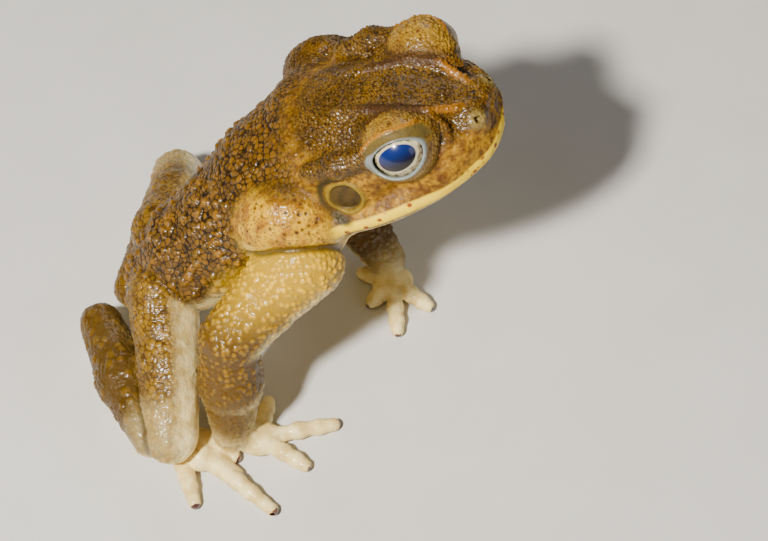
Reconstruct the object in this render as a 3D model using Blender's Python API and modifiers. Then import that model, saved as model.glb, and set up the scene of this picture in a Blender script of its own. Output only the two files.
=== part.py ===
"""A cane toad at life size, sitting up on its hands with its head raised and turned.

Blender 4.5, metres, +Z up. The head points to +X and the toad's left is +Y. Sizes are
written in millimetres and multiplied by MM. The floor is at z = 0.
"""

import math
import random

import bmesh
import bpy
from mathutils import Euler, Matrix, Vector
from mathutils.bvhtree import BVHTree

MM = 0.001
RIGHT = -1
LEFT = 1
SIDES = {"R": RIGHT, "L": LEFT}

# Fits and fineness
GAP = 0.3
ROUND = 3
VOXEL = 0.8
FINE_VOXEL = 0.5
FLOOR_CUT = 30.0
FLOOR_REACH = 90.0

# The head's own frame: its origin lies midway between the eyes
HEAD_AT = (31.2, 2.2, 66.9)
HEAD_YAW = -14.0
HEAD_PITCH = 12.7

# Eyes, in the head's frame and for the left side. The right eye looks higher than the left one
EYE_AT = (0.5, 12.3, 1.5)
EYE_RADIUS = 6.1
GAZES = {RIGHT: (0.2, 0.94, 0.46), LEFT: (0.13, 0.97, 0.08)}
LID_TILTS = {RIGHT: -12.0, LEFT: -4.0}
LID_OPENINGS = {RIGHT: (5.3, 4.1, 3.4), LEFT: (5.3, 4.0, 3.4)}
LID_RADIUS = 7.1
LID_OPENING_OUT = 5.9
LID_RIM = 0.65
LID_RIM_SUNK = 0.35
LID_RIM_STEPS = 24

# Ears and glands, in the head's frame and for the left side
EAR_AT = (-12.0, 19.2, -6.0)
EAR_RADIUS = 3.5
EAR_DEPTH = 2.4
EAR_PROUD = 0.35
EAR_TAPER = 0.86
GLAND_AT = (-27.0, 18.6, -16.0)
GLAND_RADII = (10.4, 7.4, 12.8)
GLAND_TURN = (10.0, 8.0, -12.0)

# The head's masses in its own frame: those on its middle, and those on its left that its right repeats
SKULL = (
    ((-6.0, 0.0, -4.0), (17.0, 14.0, 8.0)),
    ((-6.0, 0.0, -9.5), (19.0, 17.5, 6.5)),
    ((6.0, 0.0, -4.5), (9.4, 7.6, 6.6)),
    ((-6.0, 0.0, 0.4), (16.0, 10.5, 4.9)),
    ((-19.0, 0.0, -7.0), (11.0, 16.5, 9.0)),
    ((-7.0, 0.0, -13.0), (17.0, 15.5, 5.0)),
)
CHEEKS = (
    ((-13.0, 12.5, -6.8), (9.5, 7.0, 6.8)),
    ((6.5, 6.8, -4.8), (7.6, 5.6, 5.4)),
    ((0.0, 8.6, 2.4), (8.4, 5.2, 3.2)),
)

# The line of the lips, from the middle of the snout back to the jaw's corner
LIP_LINE = (
    (16.6, 0.0, -9.2),
    (15.8, 5.0, -9.5),
    (13.2, 9.4, -10.2),
    (6.3, 15.2, -11.2),
    (0.0, 18.2, -11.8),
    (-8.0, 20.4, -12.4),
    (-16.5, 21.4, -12.8),
)
LIP_RADIUS = 2.5
LIP_LIFT = 1.6
LIP_BACK = 2.4
LIP_SHARE = 0.91
JAW_DROP = 1.8
JAW_BACK = 4.0
JAW_SHARE = 0.8
MOUTH_GROOVE = 0.45
NOSTRIL_AT = (13.9, 3.6, -1.3)
NOSTRIL_RADII = (0.9, 0.6, 0.7)
NOSTRIL_SWELLING = 2.1
NOSTRIL_WAY = (0.5, 0.7, 0.5)
NOSTRIL_OUT = 3.0

# Crests: from above the ear, over the eye's inner side and down to the nostril
CREST_LINE = ((-14.0, 8.4, 2.2), (-9.0, 7.4, 4.6), (0.0, 6.8, 5.4), (8.0, 5.8, 4.2), (13.0, 3.8, 0.8))
FOREHEAD = ((-2.0, 6.0, 4.4, 1.0), (12.6, 3.4, 0.4, 1.2), (0.0, 9.0, -6.5, 2.0), (13.0, 4.6, -6.0, 2.0))
TEMPLE_LINE = ((-5.0, 15.0, 3.0), (-12.0, 16.4, 1.2), (-19.0, 16.2, -1.6))
TEMPLE_RADIUS = 2.4
CREST_RADIUS = 1.1

# The trunk: each station is x, y, z, half its width and half its depth
TRUNK = {
    "vent": (-29.5, -0.5, 14.5, 7.5, 6.5),
    "pelvis": (-25.0, 0.0, 20.5, 10.5, 9.0),
    "loin": (-18.5, 0.0, 26.6, 12.3, 11.2),
    "belly": (-8.7, 0.9, 32.6, 14.8, 13.2),
    "chest": (0.8, 3.8, 41.0, 17.1, 13.6),
    "neck": (10.0, 6.4, 50.3, 19.6, 11.8),
}

# Arms: joints as x, y, z, and radii from the shoulder down to the wrist
ARMS = {
    "R": {
        "shoulder": (5.2, -15.6, 41.4),
        "elbow": (-11.3, -25.0, 29.0),
        "wrist": (-14.3, -32.3, 5.0),
        "palm": (-9.0, -33.0, 2.4),
        "fingers": ((-13.0, -23.5), (-7.0, -23.5), (7.0, -30.5), (0.6, -40.0)),
    },
    "L": {
        "shoulder": (12.0, 18.0, 43.5),
        "elbow": (6.0, 27.0, 24.0),
        "wrist": (20.0, 9.5, 5.0),
        "palm": (21.3, 4.4, 2.4),
        "fingers": ((14.5, 8.5), (16.4, 0.5), (21.7, -7.7), (28.7, -1.9)),
    },
}
SHOULDER_RADIUS = 8.8
UPPER_ARM_SWELLING = 0.55
UPPER_ARM_RADIUS = 6.7
ELBOW_RADIUS = 6.5
ELBOW_STEP = 0.6
FOREARM_SWELLING = 0.45
FOREARM_RADIUS = 6.6
WRIST_RADIUS = 4.2
HAND_ROOT_RADIUS = 3.7
PALM_RADII = (4.6, 4.2, 2.6)
FINGER_RADII = (1.9, 1.4)
FINGER_ROOT = 0.2
FINGER_ROOT_HEIGHT = 1.9
FINGER_HEIGHT = 1.25
DIGIT_ARCH = 0.35

# Hind legs: joints as x, y, z, with the toes from the inner to the outer
LEGS = {
    "R": {
        "hip": (-26.5, -8.0, 22.5),
        "thigh": (-26.0, -21.5, 17.0),
        "knee": (-27.0, -34.8, 9.4),
        "shin": (-30.0, -33.8, 8.4),
        "calf": (-37.0, -19.5, 8.4),
        "heel": (-43.0, -3.6, 7.6),
        "joint": (-27.5, -29.5, 3.2),
        "sole": (-21.5, -36.5, 2.3),
        "toes": ((-17.0, -32.5), (-14.5, -36.5), (-13.9, -40.7), (-6.6, -50.0), (-23.0, -46.8)),
    },
    "L": {
        "hip": (-26.0, 8.5, 22.5),
        "thigh": (-24.5, 21.0, 17.0),
        "knee": (-26.0, 33.8, 9.6),
        "shin": (-27.5, 32.8, 8.2),
        "calf": (-30.0, 19.5, 7.6),
        "heel": (-35.8, 5.8, 7.0),
        "joint": (-24.0, 27.5, 3.2),
        "sole": (-17.5, 34.0, 2.3),
        "toes": ((-12.0, 30.5), (-7.5, 34.5), (-4.5, 39.5), (3.5, 47.0), (-13.0, 45.0)),
    },
}
THIGH_RADII = (7.6, 6.5, 6.0)
SHANK_RADII = (5.2, 6.0, 4.5)
TARSUS_RADII = (4.2, 3.0)
SOLE_RADIUS = 3.2
TOE_BASE_RADIUS = 2.4
TOE_ROOT = 0.45
TOE_ROOT_HEIGHT = 2.0
TOE_RADII = (1.9, 1.3)
TOE_HEIGHT = 1.25

# The larger warts of the back and flanks: domes with their middles sunk in the skin
WART_COUNT = 34
WART_SEED = 7
WART_SPACING = 4.4
WART_CLEARANCE = 2.6
WART_RADII = (1.1, 1.7)
WART_SINK = 0.45
WART_FACING = -0.1
BACKWARD = (-0.62, 0.0, 0.78)

# Triangles left in each kind of node
TRIANGLES = {
    "head": 1900,
    "torso": 1150,
    "upper_arm": 300,
    "forearm": 340,
    "hand": 560,
    "thigh": 340,
    "shank": 320,
    "foot": 700,
}

# Colours, as seen on the animal
BACK = (0.22, 0.11, 0.03)
CHEEK = (0.50, 0.27, 0.04)
GLAND = (0.46, 0.25, 0.05)
LIMB = (0.27, 0.15, 0.045)
PALE = (0.62, 0.47, 0.26)
EYE = (0.02, 0.03, 0.08)
EAR = (0.24, 0.15, 0.04)

HEAD_FRAME = Matrix.Translation(Vector(HEAD_AT)) @ Euler(
    (0.0, math.radians(-HEAD_PITCH), math.radians(HEAD_YAW))
).to_matrix().to_4x4()


def clear_scene():
    """Removes every object that the scene starts with."""
    for obj in list(bpy.data.objects):
        bpy.data.objects.remove(obj, do_unlink=True)


def new_collection(name, hidden):
    """Adds a collection to the scene."""
    group = bpy.data.collections.new(name)
    bpy.context.scene.collection.children.link(group)
    group.hide_render = hidden
    return group


def material(name, colour, roughness):
    """A plain Principled material."""
    made = bpy.data.materials.new(name)
    made.use_nodes = True
    shader = made.node_tree.nodes["Principled BSDF"]
    shader.inputs["Base Color"].default_value = (*colour, 1.0)
    shader.inputs["Roughness"].default_value = roughness
    made.diffuse_color = (*colour, 1.0)
    return made


def mesh_object(name, bm):
    """Turns a bmesh in millimetres into an object in metres."""
    bmesh.ops.recalc_face_normals(bm, faces=bm.faces)
    bmesh.ops.scale(bm, vec=(MM, MM, MM), verts=bm.verts)
    mesh = bpy.data.meshes.new(name)
    bm.to_mesh(mesh)
    bm.free()
    obj = bpy.data.objects.new(name, mesh)
    cutters.objects.link(obj)
    return obj


def mirrored(point, side):
    """A point of the left side, taken to the side asked for."""
    return Vector((point[0], point[1] * side, point[2]))


def in_head(point, side=LEFT):
    """A point of the head's own frame, in the toad's frame."""
    return HEAD_FRAME @ mirrored(point, side)


def head_direction(direction, side=LEFT):
    """A direction of the head's own frame, in the toad's frame."""
    return (HEAD_FRAME.to_3x3() @ mirrored(direction, side)).normalized()


def ball(centre, radii, turn=None, fineness=ROUND):
    """An ellipsoid. turn is a rotation matrix, and none leaves it along the axes."""
    bm = bmesh.new()
    spin = (turn or Matrix.Identity(3)).to_4x4()
    place = Matrix.Translation(Vector(centre)) @ spin @ Matrix.Diagonal((*radii, 1.0))
    bmesh.ops.create_icosphere(bm, subdivisions=fineness, radius=1.0, matrix=place)
    return mesh_object("ball", bm)


def bar(ends, fineness=ROUND):
    """The hull of two or more ellipsoids. Each end is a centre and its radii."""
    bm = bmesh.new()
    for centre, radii in ends:
        place = Matrix.Translation(Vector(centre)) @ Matrix.Diagonal((*radii, 1.0))
        bmesh.ops.create_icosphere(bm, subdivisions=fineness, radius=1.0, matrix=place)
    hull = bmesh.ops.convex_hull(bm, input=bm.verts)
    loose = [v for v in hull["geom_interior"] if isinstance(v, bmesh.types.BMVert)]
    bmesh.ops.delete(bm, geom=loose, context="VERTS")
    return mesh_object("bar", bm)


def limb(joints):
    """Bars of round section through the joints, each a centre and a radius."""
    pairs = zip(joints, joints[1:])
    return [bar([(a, (ra,) * 3), (b, (rb,) * 3)]) for (a, ra), (b, rb) in pairs]


def disc(centre, axis, radius, depth):
    """A round plate across its axis."""
    bm = bmesh.new()
    turn = Vector(axis).to_track_quat("Z", "Y").to_matrix().to_4x4()
    bmesh.ops.create_cone(
        bm,
        cap_ends=True,
        segments=28,
        radius1=radius * EAR_TAPER,
        radius2=radius,
        depth=depth,
        matrix=Matrix.Translation(Vector(centre)) @ turn,
    )
    return mesh_object("disc", bm)


def box(low, high):
    """A box between two corners."""
    bm = bmesh.new()
    size = Vector(high) - Vector(low)
    middle = (Vector(high) + Vector(low)) / 2
    place = Matrix.Translation(middle) @ Matrix.Diagonal((*size, 1.0))
    bmesh.ops.create_cube(bm, size=1.0, matrix=place)
    return mesh_object("box", bm)


def tube(points, radius, closed=False):
    """A round tube through points, as a closed mesh."""
    curve = bpy.data.curves.new("tube", "CURVE")
    curve.dimensions = "3D"
    curve.bevel_depth = radius * MM
    curve.bevel_resolution = 1
    curve.use_fill_caps = not closed
    spline = curve.splines.new("POLY")
    spline.points.add(len(points) - 1)
    for knot, point in zip(spline.points, points):
        knot.co = (*(Vector(point) * MM), 1.0)
    spline.use_cyclic_u = closed
    guide = bpy.data.objects.new("tube", curve)
    cutters.objects.link(guide)
    bpy.context.view_layer.update()
    graph = bpy.context.evaluated_depsgraph_get()
    mesh = bpy.data.meshes.new_from_object(guide.evaluated_get(graph))
    bpy.data.objects.remove(guide)
    bm = bmesh.new()
    bm.from_mesh(mesh)
    bmesh.ops.remove_doubles(bm, verts=bm.verts, dist=1e-6)
    bmesh.ops.scale(bm, vec=(1 / MM,) * 3, verts=bm.verts)
    return mesh_object("tube", bm)


def baked(obj):
    """Replaces the object's mesh by what its modifiers make of it."""
    bpy.context.view_layer.update()
    graph = bpy.context.evaluated_depsgraph_get()
    mesh = bpy.data.meshes.new_from_object(obj.evaluated_get(graph))
    obj.modifiers.clear()
    obj.data = mesh
    return obj


def joined(pieces):
    """One object holding the meshes of all the pieces, which are removed."""
    bm = bmesh.new()
    for piece in pieces:
        bm.from_mesh(piece.data)
        bpy.data.objects.remove(piece)
    mesh = bpy.data.meshes.new("joined")
    bm.to_mesh(mesh)
    bm.free()
    obj = bpy.data.objects.new("joined", mesh)
    cutters.objects.link(obj)
    return obj


def fused(pieces, kind, smoothing=8, voxel=VOXEL):
    """One smooth closed form made of overlapping pieces, with this kind's triangles."""
    obj = joined(pieces)
    remesh = obj.modifiers.new("Fuse", "REMESH")
    remesh.mode = "VOXEL"
    remesh.voxel_size = voxel * MM
    smooth = obj.modifiers.new("Soften", "SMOOTH")
    smooth.factor = 0.5
    smooth.iterations = smoothing
    baked(obj)
    faces = sum(len(face.vertices) - 2 for face in obj.data.polygons)
    thin = obj.modifiers.new("Thin", "DECIMATE")
    thin.ratio = min(1.0, TRIANGLES[kind] / faces)
    return baked(obj)


def copied(obj):
    """A copy with a mesh of its own."""
    twin = obj.copy()
    twin.data = obj.data.copy()
    cutters.objects.link(twin)
    return twin


def swollen(obj, by=GAP):
    """A copy whose surface stands outside the original by a given distance."""
    twin = copied(obj)
    swell = twin.modifiers.new("Swell", "DISPLACE")
    swell.mid_level = 0.0
    swell.strength = by * MM
    return baked(twin)


def combined(obj, pieces, operation):
    """A Boolean of the object with a collection of closed meshes, then removed."""
    group = new_collection("operands", True)
    for piece in pieces:
        cutters.objects.unlink(piece)
        group.objects.link(piece)
    step = obj.modifiers.new("Join or cut", "BOOLEAN")
    step.operation = operation
    step.operand_type = "COLLECTION"
    step.collection = group
    step.solver = "EXACT"
    step.use_self = operation == "UNION"
    baked(obj)
    for piece in pieces:
        bpy.data.objects.remove(piece)
    bpy.data.collections.remove(group)
    return largest_body(obj)


def united(obj, pieces):
    """The object with the pieces fused on."""
    return combined(obj, pieces, "UNION")


def less(obj, pieces):
    """The object with the pieces cut away."""
    return combined(obj, pieces, "DIFFERENCE") if pieces else obj


def largest_body(obj):
    """Drops every closed surface but the largest."""
    bm = bmesh.new()
    bm.from_mesh(obj.data)
    bmesh.ops.triangulate(bm, faces=bm.faces)
    bodies = []
    unseen = set(bm.verts)
    while unseen:
        body = set()
        front = [unseen.pop()]
        while front:
            vert = front.pop()
            body.add(vert)
            near = {edge.other_vert(vert) for edge in vert.link_edges} & unseen
            unseen -= near
            front.extend(near)
        bodies.append(body)
    kept = max(bodies, key=reach)
    for body in bodies:
        if body is not kept:
            bmesh.ops.delete(bm, geom=list(body), context="VERTS")
    bm.to_mesh(obj.data)
    bm.free()
    return obj


def reach(body):
    """The sum of the sides of the box round some vertices."""
    corners = [vert.co for vert in body]
    return sum(max(p[i] for p in corners) - min(p[i] for p in corners) for i in range(3))


def on_surface(obj, points):
    """The nearest point of the object's surface to each point, with the normal there."""
    bm = bmesh.new()
    bm.from_mesh(obj.data)
    tree = BVHTree.FromBMesh(bm)
    bm.free()
    found = [tree.find_nearest(Vector(p) * MM) for p in points]
    return [(place / MM, normal) for place, normal, _, _ in found]


def filled(line, steps):
    """A line with points added between its own, on a curve through them."""
    ends = [Vector(line[0]) * 2 - Vector(line[1])]
    ends += [Vector(p) for p in line]
    ends += [Vector(line[-1]) * 2 - Vector(line[-2])]
    made = []
    for a, b, c, d in zip(ends, ends[1:], ends[2:], ends[3:]):
        for i in range(steps):
            t = i / steps
            bend = (2 * a - 5 * b + 4 * c - d) * t + (3 * b - a - 3 * c + d) * t * t
            made.append(b + ((c - a) + bend) * t / 2)
    return made + [ends[-2]]


def both_sides(line):
    """The line from one jaw's corner round the snout to the other, in the toad's frame."""
    right = [in_head(p, RIGHT) for p in reversed(line[1:])]
    return right + [in_head(p, LEFT) for p in line]


def head_masses():
    """The skull, cheeks, snout and jaws as overlapping bars and balls."""
    turn = HEAD_FRAME.to_3x3()
    pieces = [ball(in_head(at), radii, turn) for at, radii in SKULL]
    corners = [(in_head(p[:3], s), (p[3],) * 3) for s in SIDES.values() for p in FOREHEAD]
    pieces.append(bar(corners))
    for side in SIDES.values():
        pieces += [ball(in_head(at, side), radii, turn) for at, radii in CHEEKS]
        pieces.append(ball(in_head(EYE_AT, side), (LID_RADIUS,) * 3))
        pieces.append(ball(in_head(NOSTRIL_AT, side), (NOSTRIL_SWELLING,) * 3))
        pieces += limb([(in_head(p, side), CREST_RADIUS) for p in CREST_LINE])
        pieces += limb([(in_head(p, side), TEMPLE_RADIUS) for p in TEMPLE_LINE])
    half = len(LIP_LINE)
    for back, share, lift in ((LIP_BACK, LIP_SHARE, LIP_LIFT), (JAW_BACK, JAW_SHARE, -JAW_DROP)):
        line = [(in_head((x - back, y * share, z + lift), side), LIP_RADIUS)
                for side in SIDES.values() for x, y, z in LIP_LINE]
        pieces += limb(line[:half])
        pieces += limb(line[half:])
    return pieces


def eye_turn(side):
    """The rotation whose Z axis looks out of the eye and whose X axis runs forward along the lids."""
    forward = head_direction((1.0, 0.0, 0.0), side)
    out = head_direction(GAZES[side], side)
    up = out.cross(forward).normalized()
    turn = Matrix.Rotation(math.radians(LID_TILTS[side] * side), 3, out)
    return Matrix((turn @ up.cross(out).normalized(), turn @ up, out)).transposed()


def lid_rim(side):
    """The ring of skin round the opening of the lids."""
    turn = eye_turn(side)
    centre = in_head(EYE_AT, side)
    wide, tall, _ = LID_OPENINGS[side]
    points = []
    for step in range(LID_RIM_STEPS):
        angle = 2 * math.pi * step / LID_RIM_STEPS
        across = Vector((math.cos(angle) * wide, math.sin(angle) * tall, 0))
        out = math.sqrt(LID_RADIUS ** 2 - across.length_squared)
        points.append(centre + turn @ Vector((across.x, across.y, out - LID_RIM_SUNK)))
    return tube(points, LID_RIM, closed=True)


def make_head(glands):
    """The head, with sockets for the eyes and ears, lids, nostrils and the mouth's line."""
    head = fused(head_masses(), "head", smoothing=5)
    whole = swollen(head)
    ears = {s: on_surface(head, [in_head(EAR_AT, s)])[0] for s in SIDES.values()}
    cuts = [copied(gland) for gland in glands]
    for side in SIDES.values():
        head = united(head, [lid_rim(side)])
        centre = in_head(EYE_AT, side)
        opening = centre + head_direction(GAZES[side], side) * LID_OPENING_OUT
        cuts.append(ball(centre, (EYE_RADIUS + GAP,) * 3))
        cuts.append(ball(opening, LID_OPENINGS[side], eye_turn(side)))
        cuts.append(ear(ears[side], GAP))
        beside = in_head(NOSTRIL_AT, side) + head_direction(NOSTRIL_WAY, side) * NOSTRIL_OUT
        nostril = on_surface(head, [beside])[0][0]
        cuts.append(ball(nostril, NOSTRIL_RADII, HEAD_FRAME.to_3x3(), fineness=2))
    line = [place for place, _ in on_surface(head, filled(both_sides(LIP_LINE), 2))]
    cuts.append(tube(line, MOUTH_GROOVE))
    return less(head, cuts), whole, ears


def ear(place, grown=0.0):
    """The round eardrum, a plate sunk into the cheek at a point with its normal."""
    point, out = place
    centre = point - out * (EAR_DEPTH / 2 - EAR_PROUD)
    return disc(centre, out, EAR_RADIUS + grown, EAR_DEPTH + 2 * grown)


def gland_form(side, grown=0.0):
    """The swollen gland behind the ear."""
    pitch, yaw, roll = (math.radians(a) for a in GLAND_TURN)
    turn = Euler((roll * side, pitch, yaw * side)).to_matrix()
    radii = tuple(r + grown for r in GLAND_RADII)
    return ball(in_head(GLAND_AT, side), radii, HEAD_FRAME.to_3x3() @ turn)


def trunk_masses():
    """The trunk as a chain of hulls between its stations."""
    ends = [((x, y, z), (deep, wide, deep)) for x, y, z, wide, deep in TRUNK.values()]
    return [bar(pair) for pair in zip(ends, ends[1:])]


def upper_arm_form(arm):
    """From inside the shoulder to the elbow."""
    top, bottom = Vector(arm["shoulder"]), Vector(arm["elbow"])
    middle = top.lerp(bottom, UPPER_ARM_SWELLING)
    joints = [(top, SHOULDER_RADIUS), (middle, UPPER_ARM_RADIUS), (bottom, ELBOW_RADIUS)]
    return fused(limb(joints), "upper_arm")


def forearm_form(arm):
    """From the elbow to the wrist, thickest near its top."""
    top, bottom = Vector(arm["elbow"]), Vector(arm["wrist"])
    middle = top.lerp(bottom, FOREARM_SWELLING)
    joints = [(top, ELBOW_RADIUS - ELBOW_STEP), (middle, FOREARM_RADIUS), (bottom, WRIST_RADIUS)]
    return fused(limb(joints), "forearm")


def digit(root, tip, radii, height, root_height):
    """A finger or toe of two bars that comes down from its root to the floor."""
    start = Vector((*root, root_height))
    end = Vector((*tip, height))
    middle = start.lerp(end, 0.5) + Vector((0.0, 0.0, DIGIT_ARCH))
    thick, thin = radii
    return limb([(start, thick), (middle, (thick + thin) / 2), (end, thin)])


def hand_form(arm):
    """The palm and its four fingers."""
    palm = Vector(arm["palm"])
    pieces = [ball(palm, PALM_RADII)]
    pieces += limb([(Vector(arm["wrist"]), HAND_ROOT_RADIUS), (palm, PALM_RADII[2])])
    for tip in arm["fingers"]:
        root = palm.lerp(Vector((*tip, palm.z)), FINGER_ROOT)
        pieces += digit(root.xy, tip, FINGER_RADII, FINGER_HEIGHT, FINGER_ROOT_HEIGHT)
    return fused(pieces, "hand", smoothing=2, voxel=FINE_VOXEL)


def thigh_form(leg):
    """From the hip out to the knee."""
    places = [leg[name] for name in ("hip", "thigh", "knee")]
    return fused(limb(list(zip(places, THIGH_RADII))), "thigh")


def shank_form(leg):
    """From under the knee back to the heel."""
    places = [leg[name] for name in ("shin", "calf", "heel")]
    return fused(limb(list(zip(places, SHANK_RADII))), "shank")


def foot_form(leg):
    """The long ankle, the sole and its five toes."""
    heel, joint, sole = (Vector(leg[name]) for name in ("heel", "joint", "sole"))
    pieces = limb([(heel, TARSUS_RADII[0]), (joint, TARSUS_RADII[1]), (sole, SOLE_RADIUS)])
    for tip in leg["toes"]:
        end = Vector(tip)
        root = joint.xy.lerp(end, TOE_ROOT)
        pieces += limb([(joint, TOE_BASE_RADIUS), (Vector((*root, TOE_ROOT_HEIGHT)), TOE_RADII[0])])
        pieces += digit(root, end, TOE_RADII, TOE_HEIGHT, TOE_ROOT_HEIGHT)
    return fused(pieces, "foot", smoothing=2, voxel=FINE_VOXEL)


def wart_places(torso, others):
    """Places on the back and flanks with the skin's normals, well apart and clear of the other nodes."""
    trees = []
    for obj in others:
        bm = bmesh.new()
        bm.from_mesh(obj.data)
        trees.append(BVHTree.FromBMesh(bm))
        bm.free()
    faces = [(face.center.copy(), face.normal.copy()) for face in torso.data.polygons]
    draw = random.Random(WART_SEED)
    draw.shuffle(faces)
    chosen = []
    for place, normal in faces:
        near = any((place - other).length < WART_SPACING * MM for other, _ in chosen)
        blocked = any(tree.find_nearest(place, WART_CLEARANCE * MM)[0] for tree in trees)
        if normal.dot(Vector(BACKWARD)) > WART_FACING and not near and not blocked:
            chosen.append((place, normal))
    return chosen[:WART_COUNT]


def warty(torso, others):
    """The torso with its larger warts."""
    draw = random.Random(WART_SEED)
    domes = []
    for place, normal in wart_places(torso, others):
        radius = draw.uniform(*WART_RADII)
        centre = place / MM - normal * radius * WART_SINK
        domes.append(ball(centre, (radius,) * 3, fineness=2))
    return united(torso, domes)


def finish(obj, name, look):
    """Names a piece, gives it its material and puts it with the parts."""
    obj.name = name
    obj.data.name = name
    obj.data.materials.clear()
    obj.data.materials.append(look)
    obj.data.shade_smooth()
    cutters.objects.unlink(obj)
    parts.objects.link(obj)
    return obj


def floor_block():
    """A block below the floor, which leaves flats under the hands and feet."""
    return box((-FLOOR_REACH, -FLOOR_REACH, -FLOOR_CUT), (FLOOR_REACH, FLOOR_REACH, 0))


def centred(nodes):
    """Moves the toad so that the middle of its box stands over the origin."""
    corners = [obj.matrix_world @ v.co for obj in nodes for v in obj.data.vertices]
    middle = [(max(c[i] for c in corners) + min(c[i] for c in corners)) / 2 for i in (0, 1)]
    lowest = min(c.z for c in corners)
    for obj in nodes:
        obj.data.transform(Matrix.Translation((-middle[0], -middle[1], -lowest)))


def build():
    """Makes every node of the toad."""
    skin = material("toad back", BACK, 0.45)
    cheek = material("toad cheek", CHEEK, 0.4)
    swelling = material("toad gland", GLAND, 0.45)
    hide = material("toad limb", LIMB, 0.45)
    pale = material("toad underside", PALE, 0.5)
    eye = material("toad eye", EYE, 0.08)
    drum = material("toad eardrum", EAR, 0.4)

    glands = {name: gland_form(side) for name, side in SIDES.items()}
    head, head_whole, ears = make_head([gland_form(side, GAP) for side in SIDES.values()])
    torso = fused(trunk_masses(), "torso", smoothing=14)
    torso_whole = swollen(torso)
    gland_cuts = [gland_form(side, GAP) for side in SIDES.values()]
    torso = less(torso, [copied(head_whole)] + [copied(g) for g in gland_cuts])

    nodes = [finish(head, "head", cheek)]
    for name, side in SIDES.items():
        arm, leg = ARMS[name], LEGS[name]
        upper = upper_arm_form(arm)
        upper_whole = swollen(upper)
        body = [copied(torso_whole), copied(head_whole)] + [copied(g) for g in gland_cuts]
        upper = less(upper, body)
        fore = forearm_form(arm)
        fore_whole = swollen(fore)
        body = [copied(torso_whole), copied(head_whole), upper_whole]
        fore = less(fore, body)
        hand = less(hand_form(arm), [copied(fore_whole), floor_block()])
        thigh = thigh_form(leg)
        thigh_whole = swollen(thigh)
        thigh = less(thigh, [copied(torso_whole)])
        shank = shank_form(leg)
        shank_whole = swollen(shank)
        shank = less(shank, [copied(torso_whole), copied(thigh_whole)])
        body = [copied(torso_whole), thigh_whole, shank_whole, fore_whole, floor_block()]
        foot = less(foot_form(leg), body)
        eyeball = ball(in_head(EYE_AT, side), (EYE_RADIUS,) * 3)
        nodes += [
            finish(glands[name], f"parotoid_{name}", swelling),
            finish(eyeball, f"eye_{name}", eye),
            finish(ear(ears[side]), f"tympanum_{name}", drum),
            finish(upper, f"upper_arm_{name}", hide),
            finish(fore, f"forearm_{name}", hide),
            finish(hand, f"hand_{name}", pale),
            finish(thigh, f"thigh_{name}", hide),
            finish(shank, f"shank_{name}", hide),
            finish(foot, f"foot_{name}", pale),
        ]
    nodes.append(finish(warty(torso, nodes), "torso", skin))
    for helper in list(cutters.objects):
        bpy.data.objects.remove(helper)
    centred(nodes)


clear_scene()
parts = new_collection("cane toad", hidden=False)
cutters = new_collection("cutters", hidden=True)
build()
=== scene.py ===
"""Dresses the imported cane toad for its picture: one wet warty skin, its eyes, its toe tips and the studio.

Forms are worked out in millimetres in the toad's own frame, with its head towards +X, its left side
towards +Y and the floor at z = 0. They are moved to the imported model's frame when a mesh is made.
"""

import logging
import math
from dataclasses import dataclass, field
from enum import Enum, unique
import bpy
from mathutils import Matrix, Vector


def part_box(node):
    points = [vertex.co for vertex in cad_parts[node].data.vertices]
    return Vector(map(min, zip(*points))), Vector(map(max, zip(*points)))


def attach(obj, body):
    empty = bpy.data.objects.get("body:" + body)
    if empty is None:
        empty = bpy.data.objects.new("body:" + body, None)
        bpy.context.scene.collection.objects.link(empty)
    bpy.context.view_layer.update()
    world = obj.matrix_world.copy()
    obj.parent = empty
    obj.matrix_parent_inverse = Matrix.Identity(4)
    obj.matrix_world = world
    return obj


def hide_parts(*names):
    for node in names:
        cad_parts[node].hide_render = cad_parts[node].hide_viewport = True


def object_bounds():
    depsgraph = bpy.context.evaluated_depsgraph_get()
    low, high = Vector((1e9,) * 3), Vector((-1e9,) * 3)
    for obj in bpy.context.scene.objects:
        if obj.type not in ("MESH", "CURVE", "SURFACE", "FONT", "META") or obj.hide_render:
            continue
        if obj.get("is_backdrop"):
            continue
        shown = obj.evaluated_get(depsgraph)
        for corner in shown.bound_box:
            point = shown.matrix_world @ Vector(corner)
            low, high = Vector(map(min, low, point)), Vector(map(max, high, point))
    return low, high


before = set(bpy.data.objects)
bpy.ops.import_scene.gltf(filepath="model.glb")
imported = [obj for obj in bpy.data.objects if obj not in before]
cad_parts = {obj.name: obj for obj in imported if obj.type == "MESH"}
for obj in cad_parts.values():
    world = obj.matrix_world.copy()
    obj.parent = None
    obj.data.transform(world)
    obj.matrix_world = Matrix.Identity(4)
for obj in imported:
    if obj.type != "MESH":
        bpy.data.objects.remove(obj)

from types import SimpleNamespace
from typing import Sequence

import bmesh
import bpy
import numpy as np
import openvdb
from mathutils import Euler, Matrix, Vector

log = logging.getLogger("cane_toad")

Points = np.ndarray
Pair = tuple[float, float]
Triple = tuple[float, float, float]
Joint = tuple[Triple, float]

MM = 0.001  # metres in a millimetre
FAR = 5.0  # distances stop here, away from a form
MARGIN = 3.0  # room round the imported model's box, for the lattice
FLOOR_GAP = 0.02  # how far the soles stay above the floor
FLAT_EDGE = 0.3  # how softly the soles turn up from it


# Measures of distance and their blends


def soft_min(a: Points, b: Points, blend: float) -> Points:
    """Join two forms with a rounded valley.

    Args:
        a: Distances to one form.
        b: Distances to the other.
        blend: How wide the valley is, in millimetres.

    Returns:
        Distances to the joined form.
    """
    share = np.clip(0.5 + 0.5 * (b - a) / blend, 0.0, 1.0)
    return b + (a - b) * share - blend * share * (1.0 - share)


def soft_max(a: Points, b: Points, blend: float) -> Points:
    """Keep what two forms share, with a rounded edge."""
    return -soft_min(-a, -b, blend)


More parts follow.
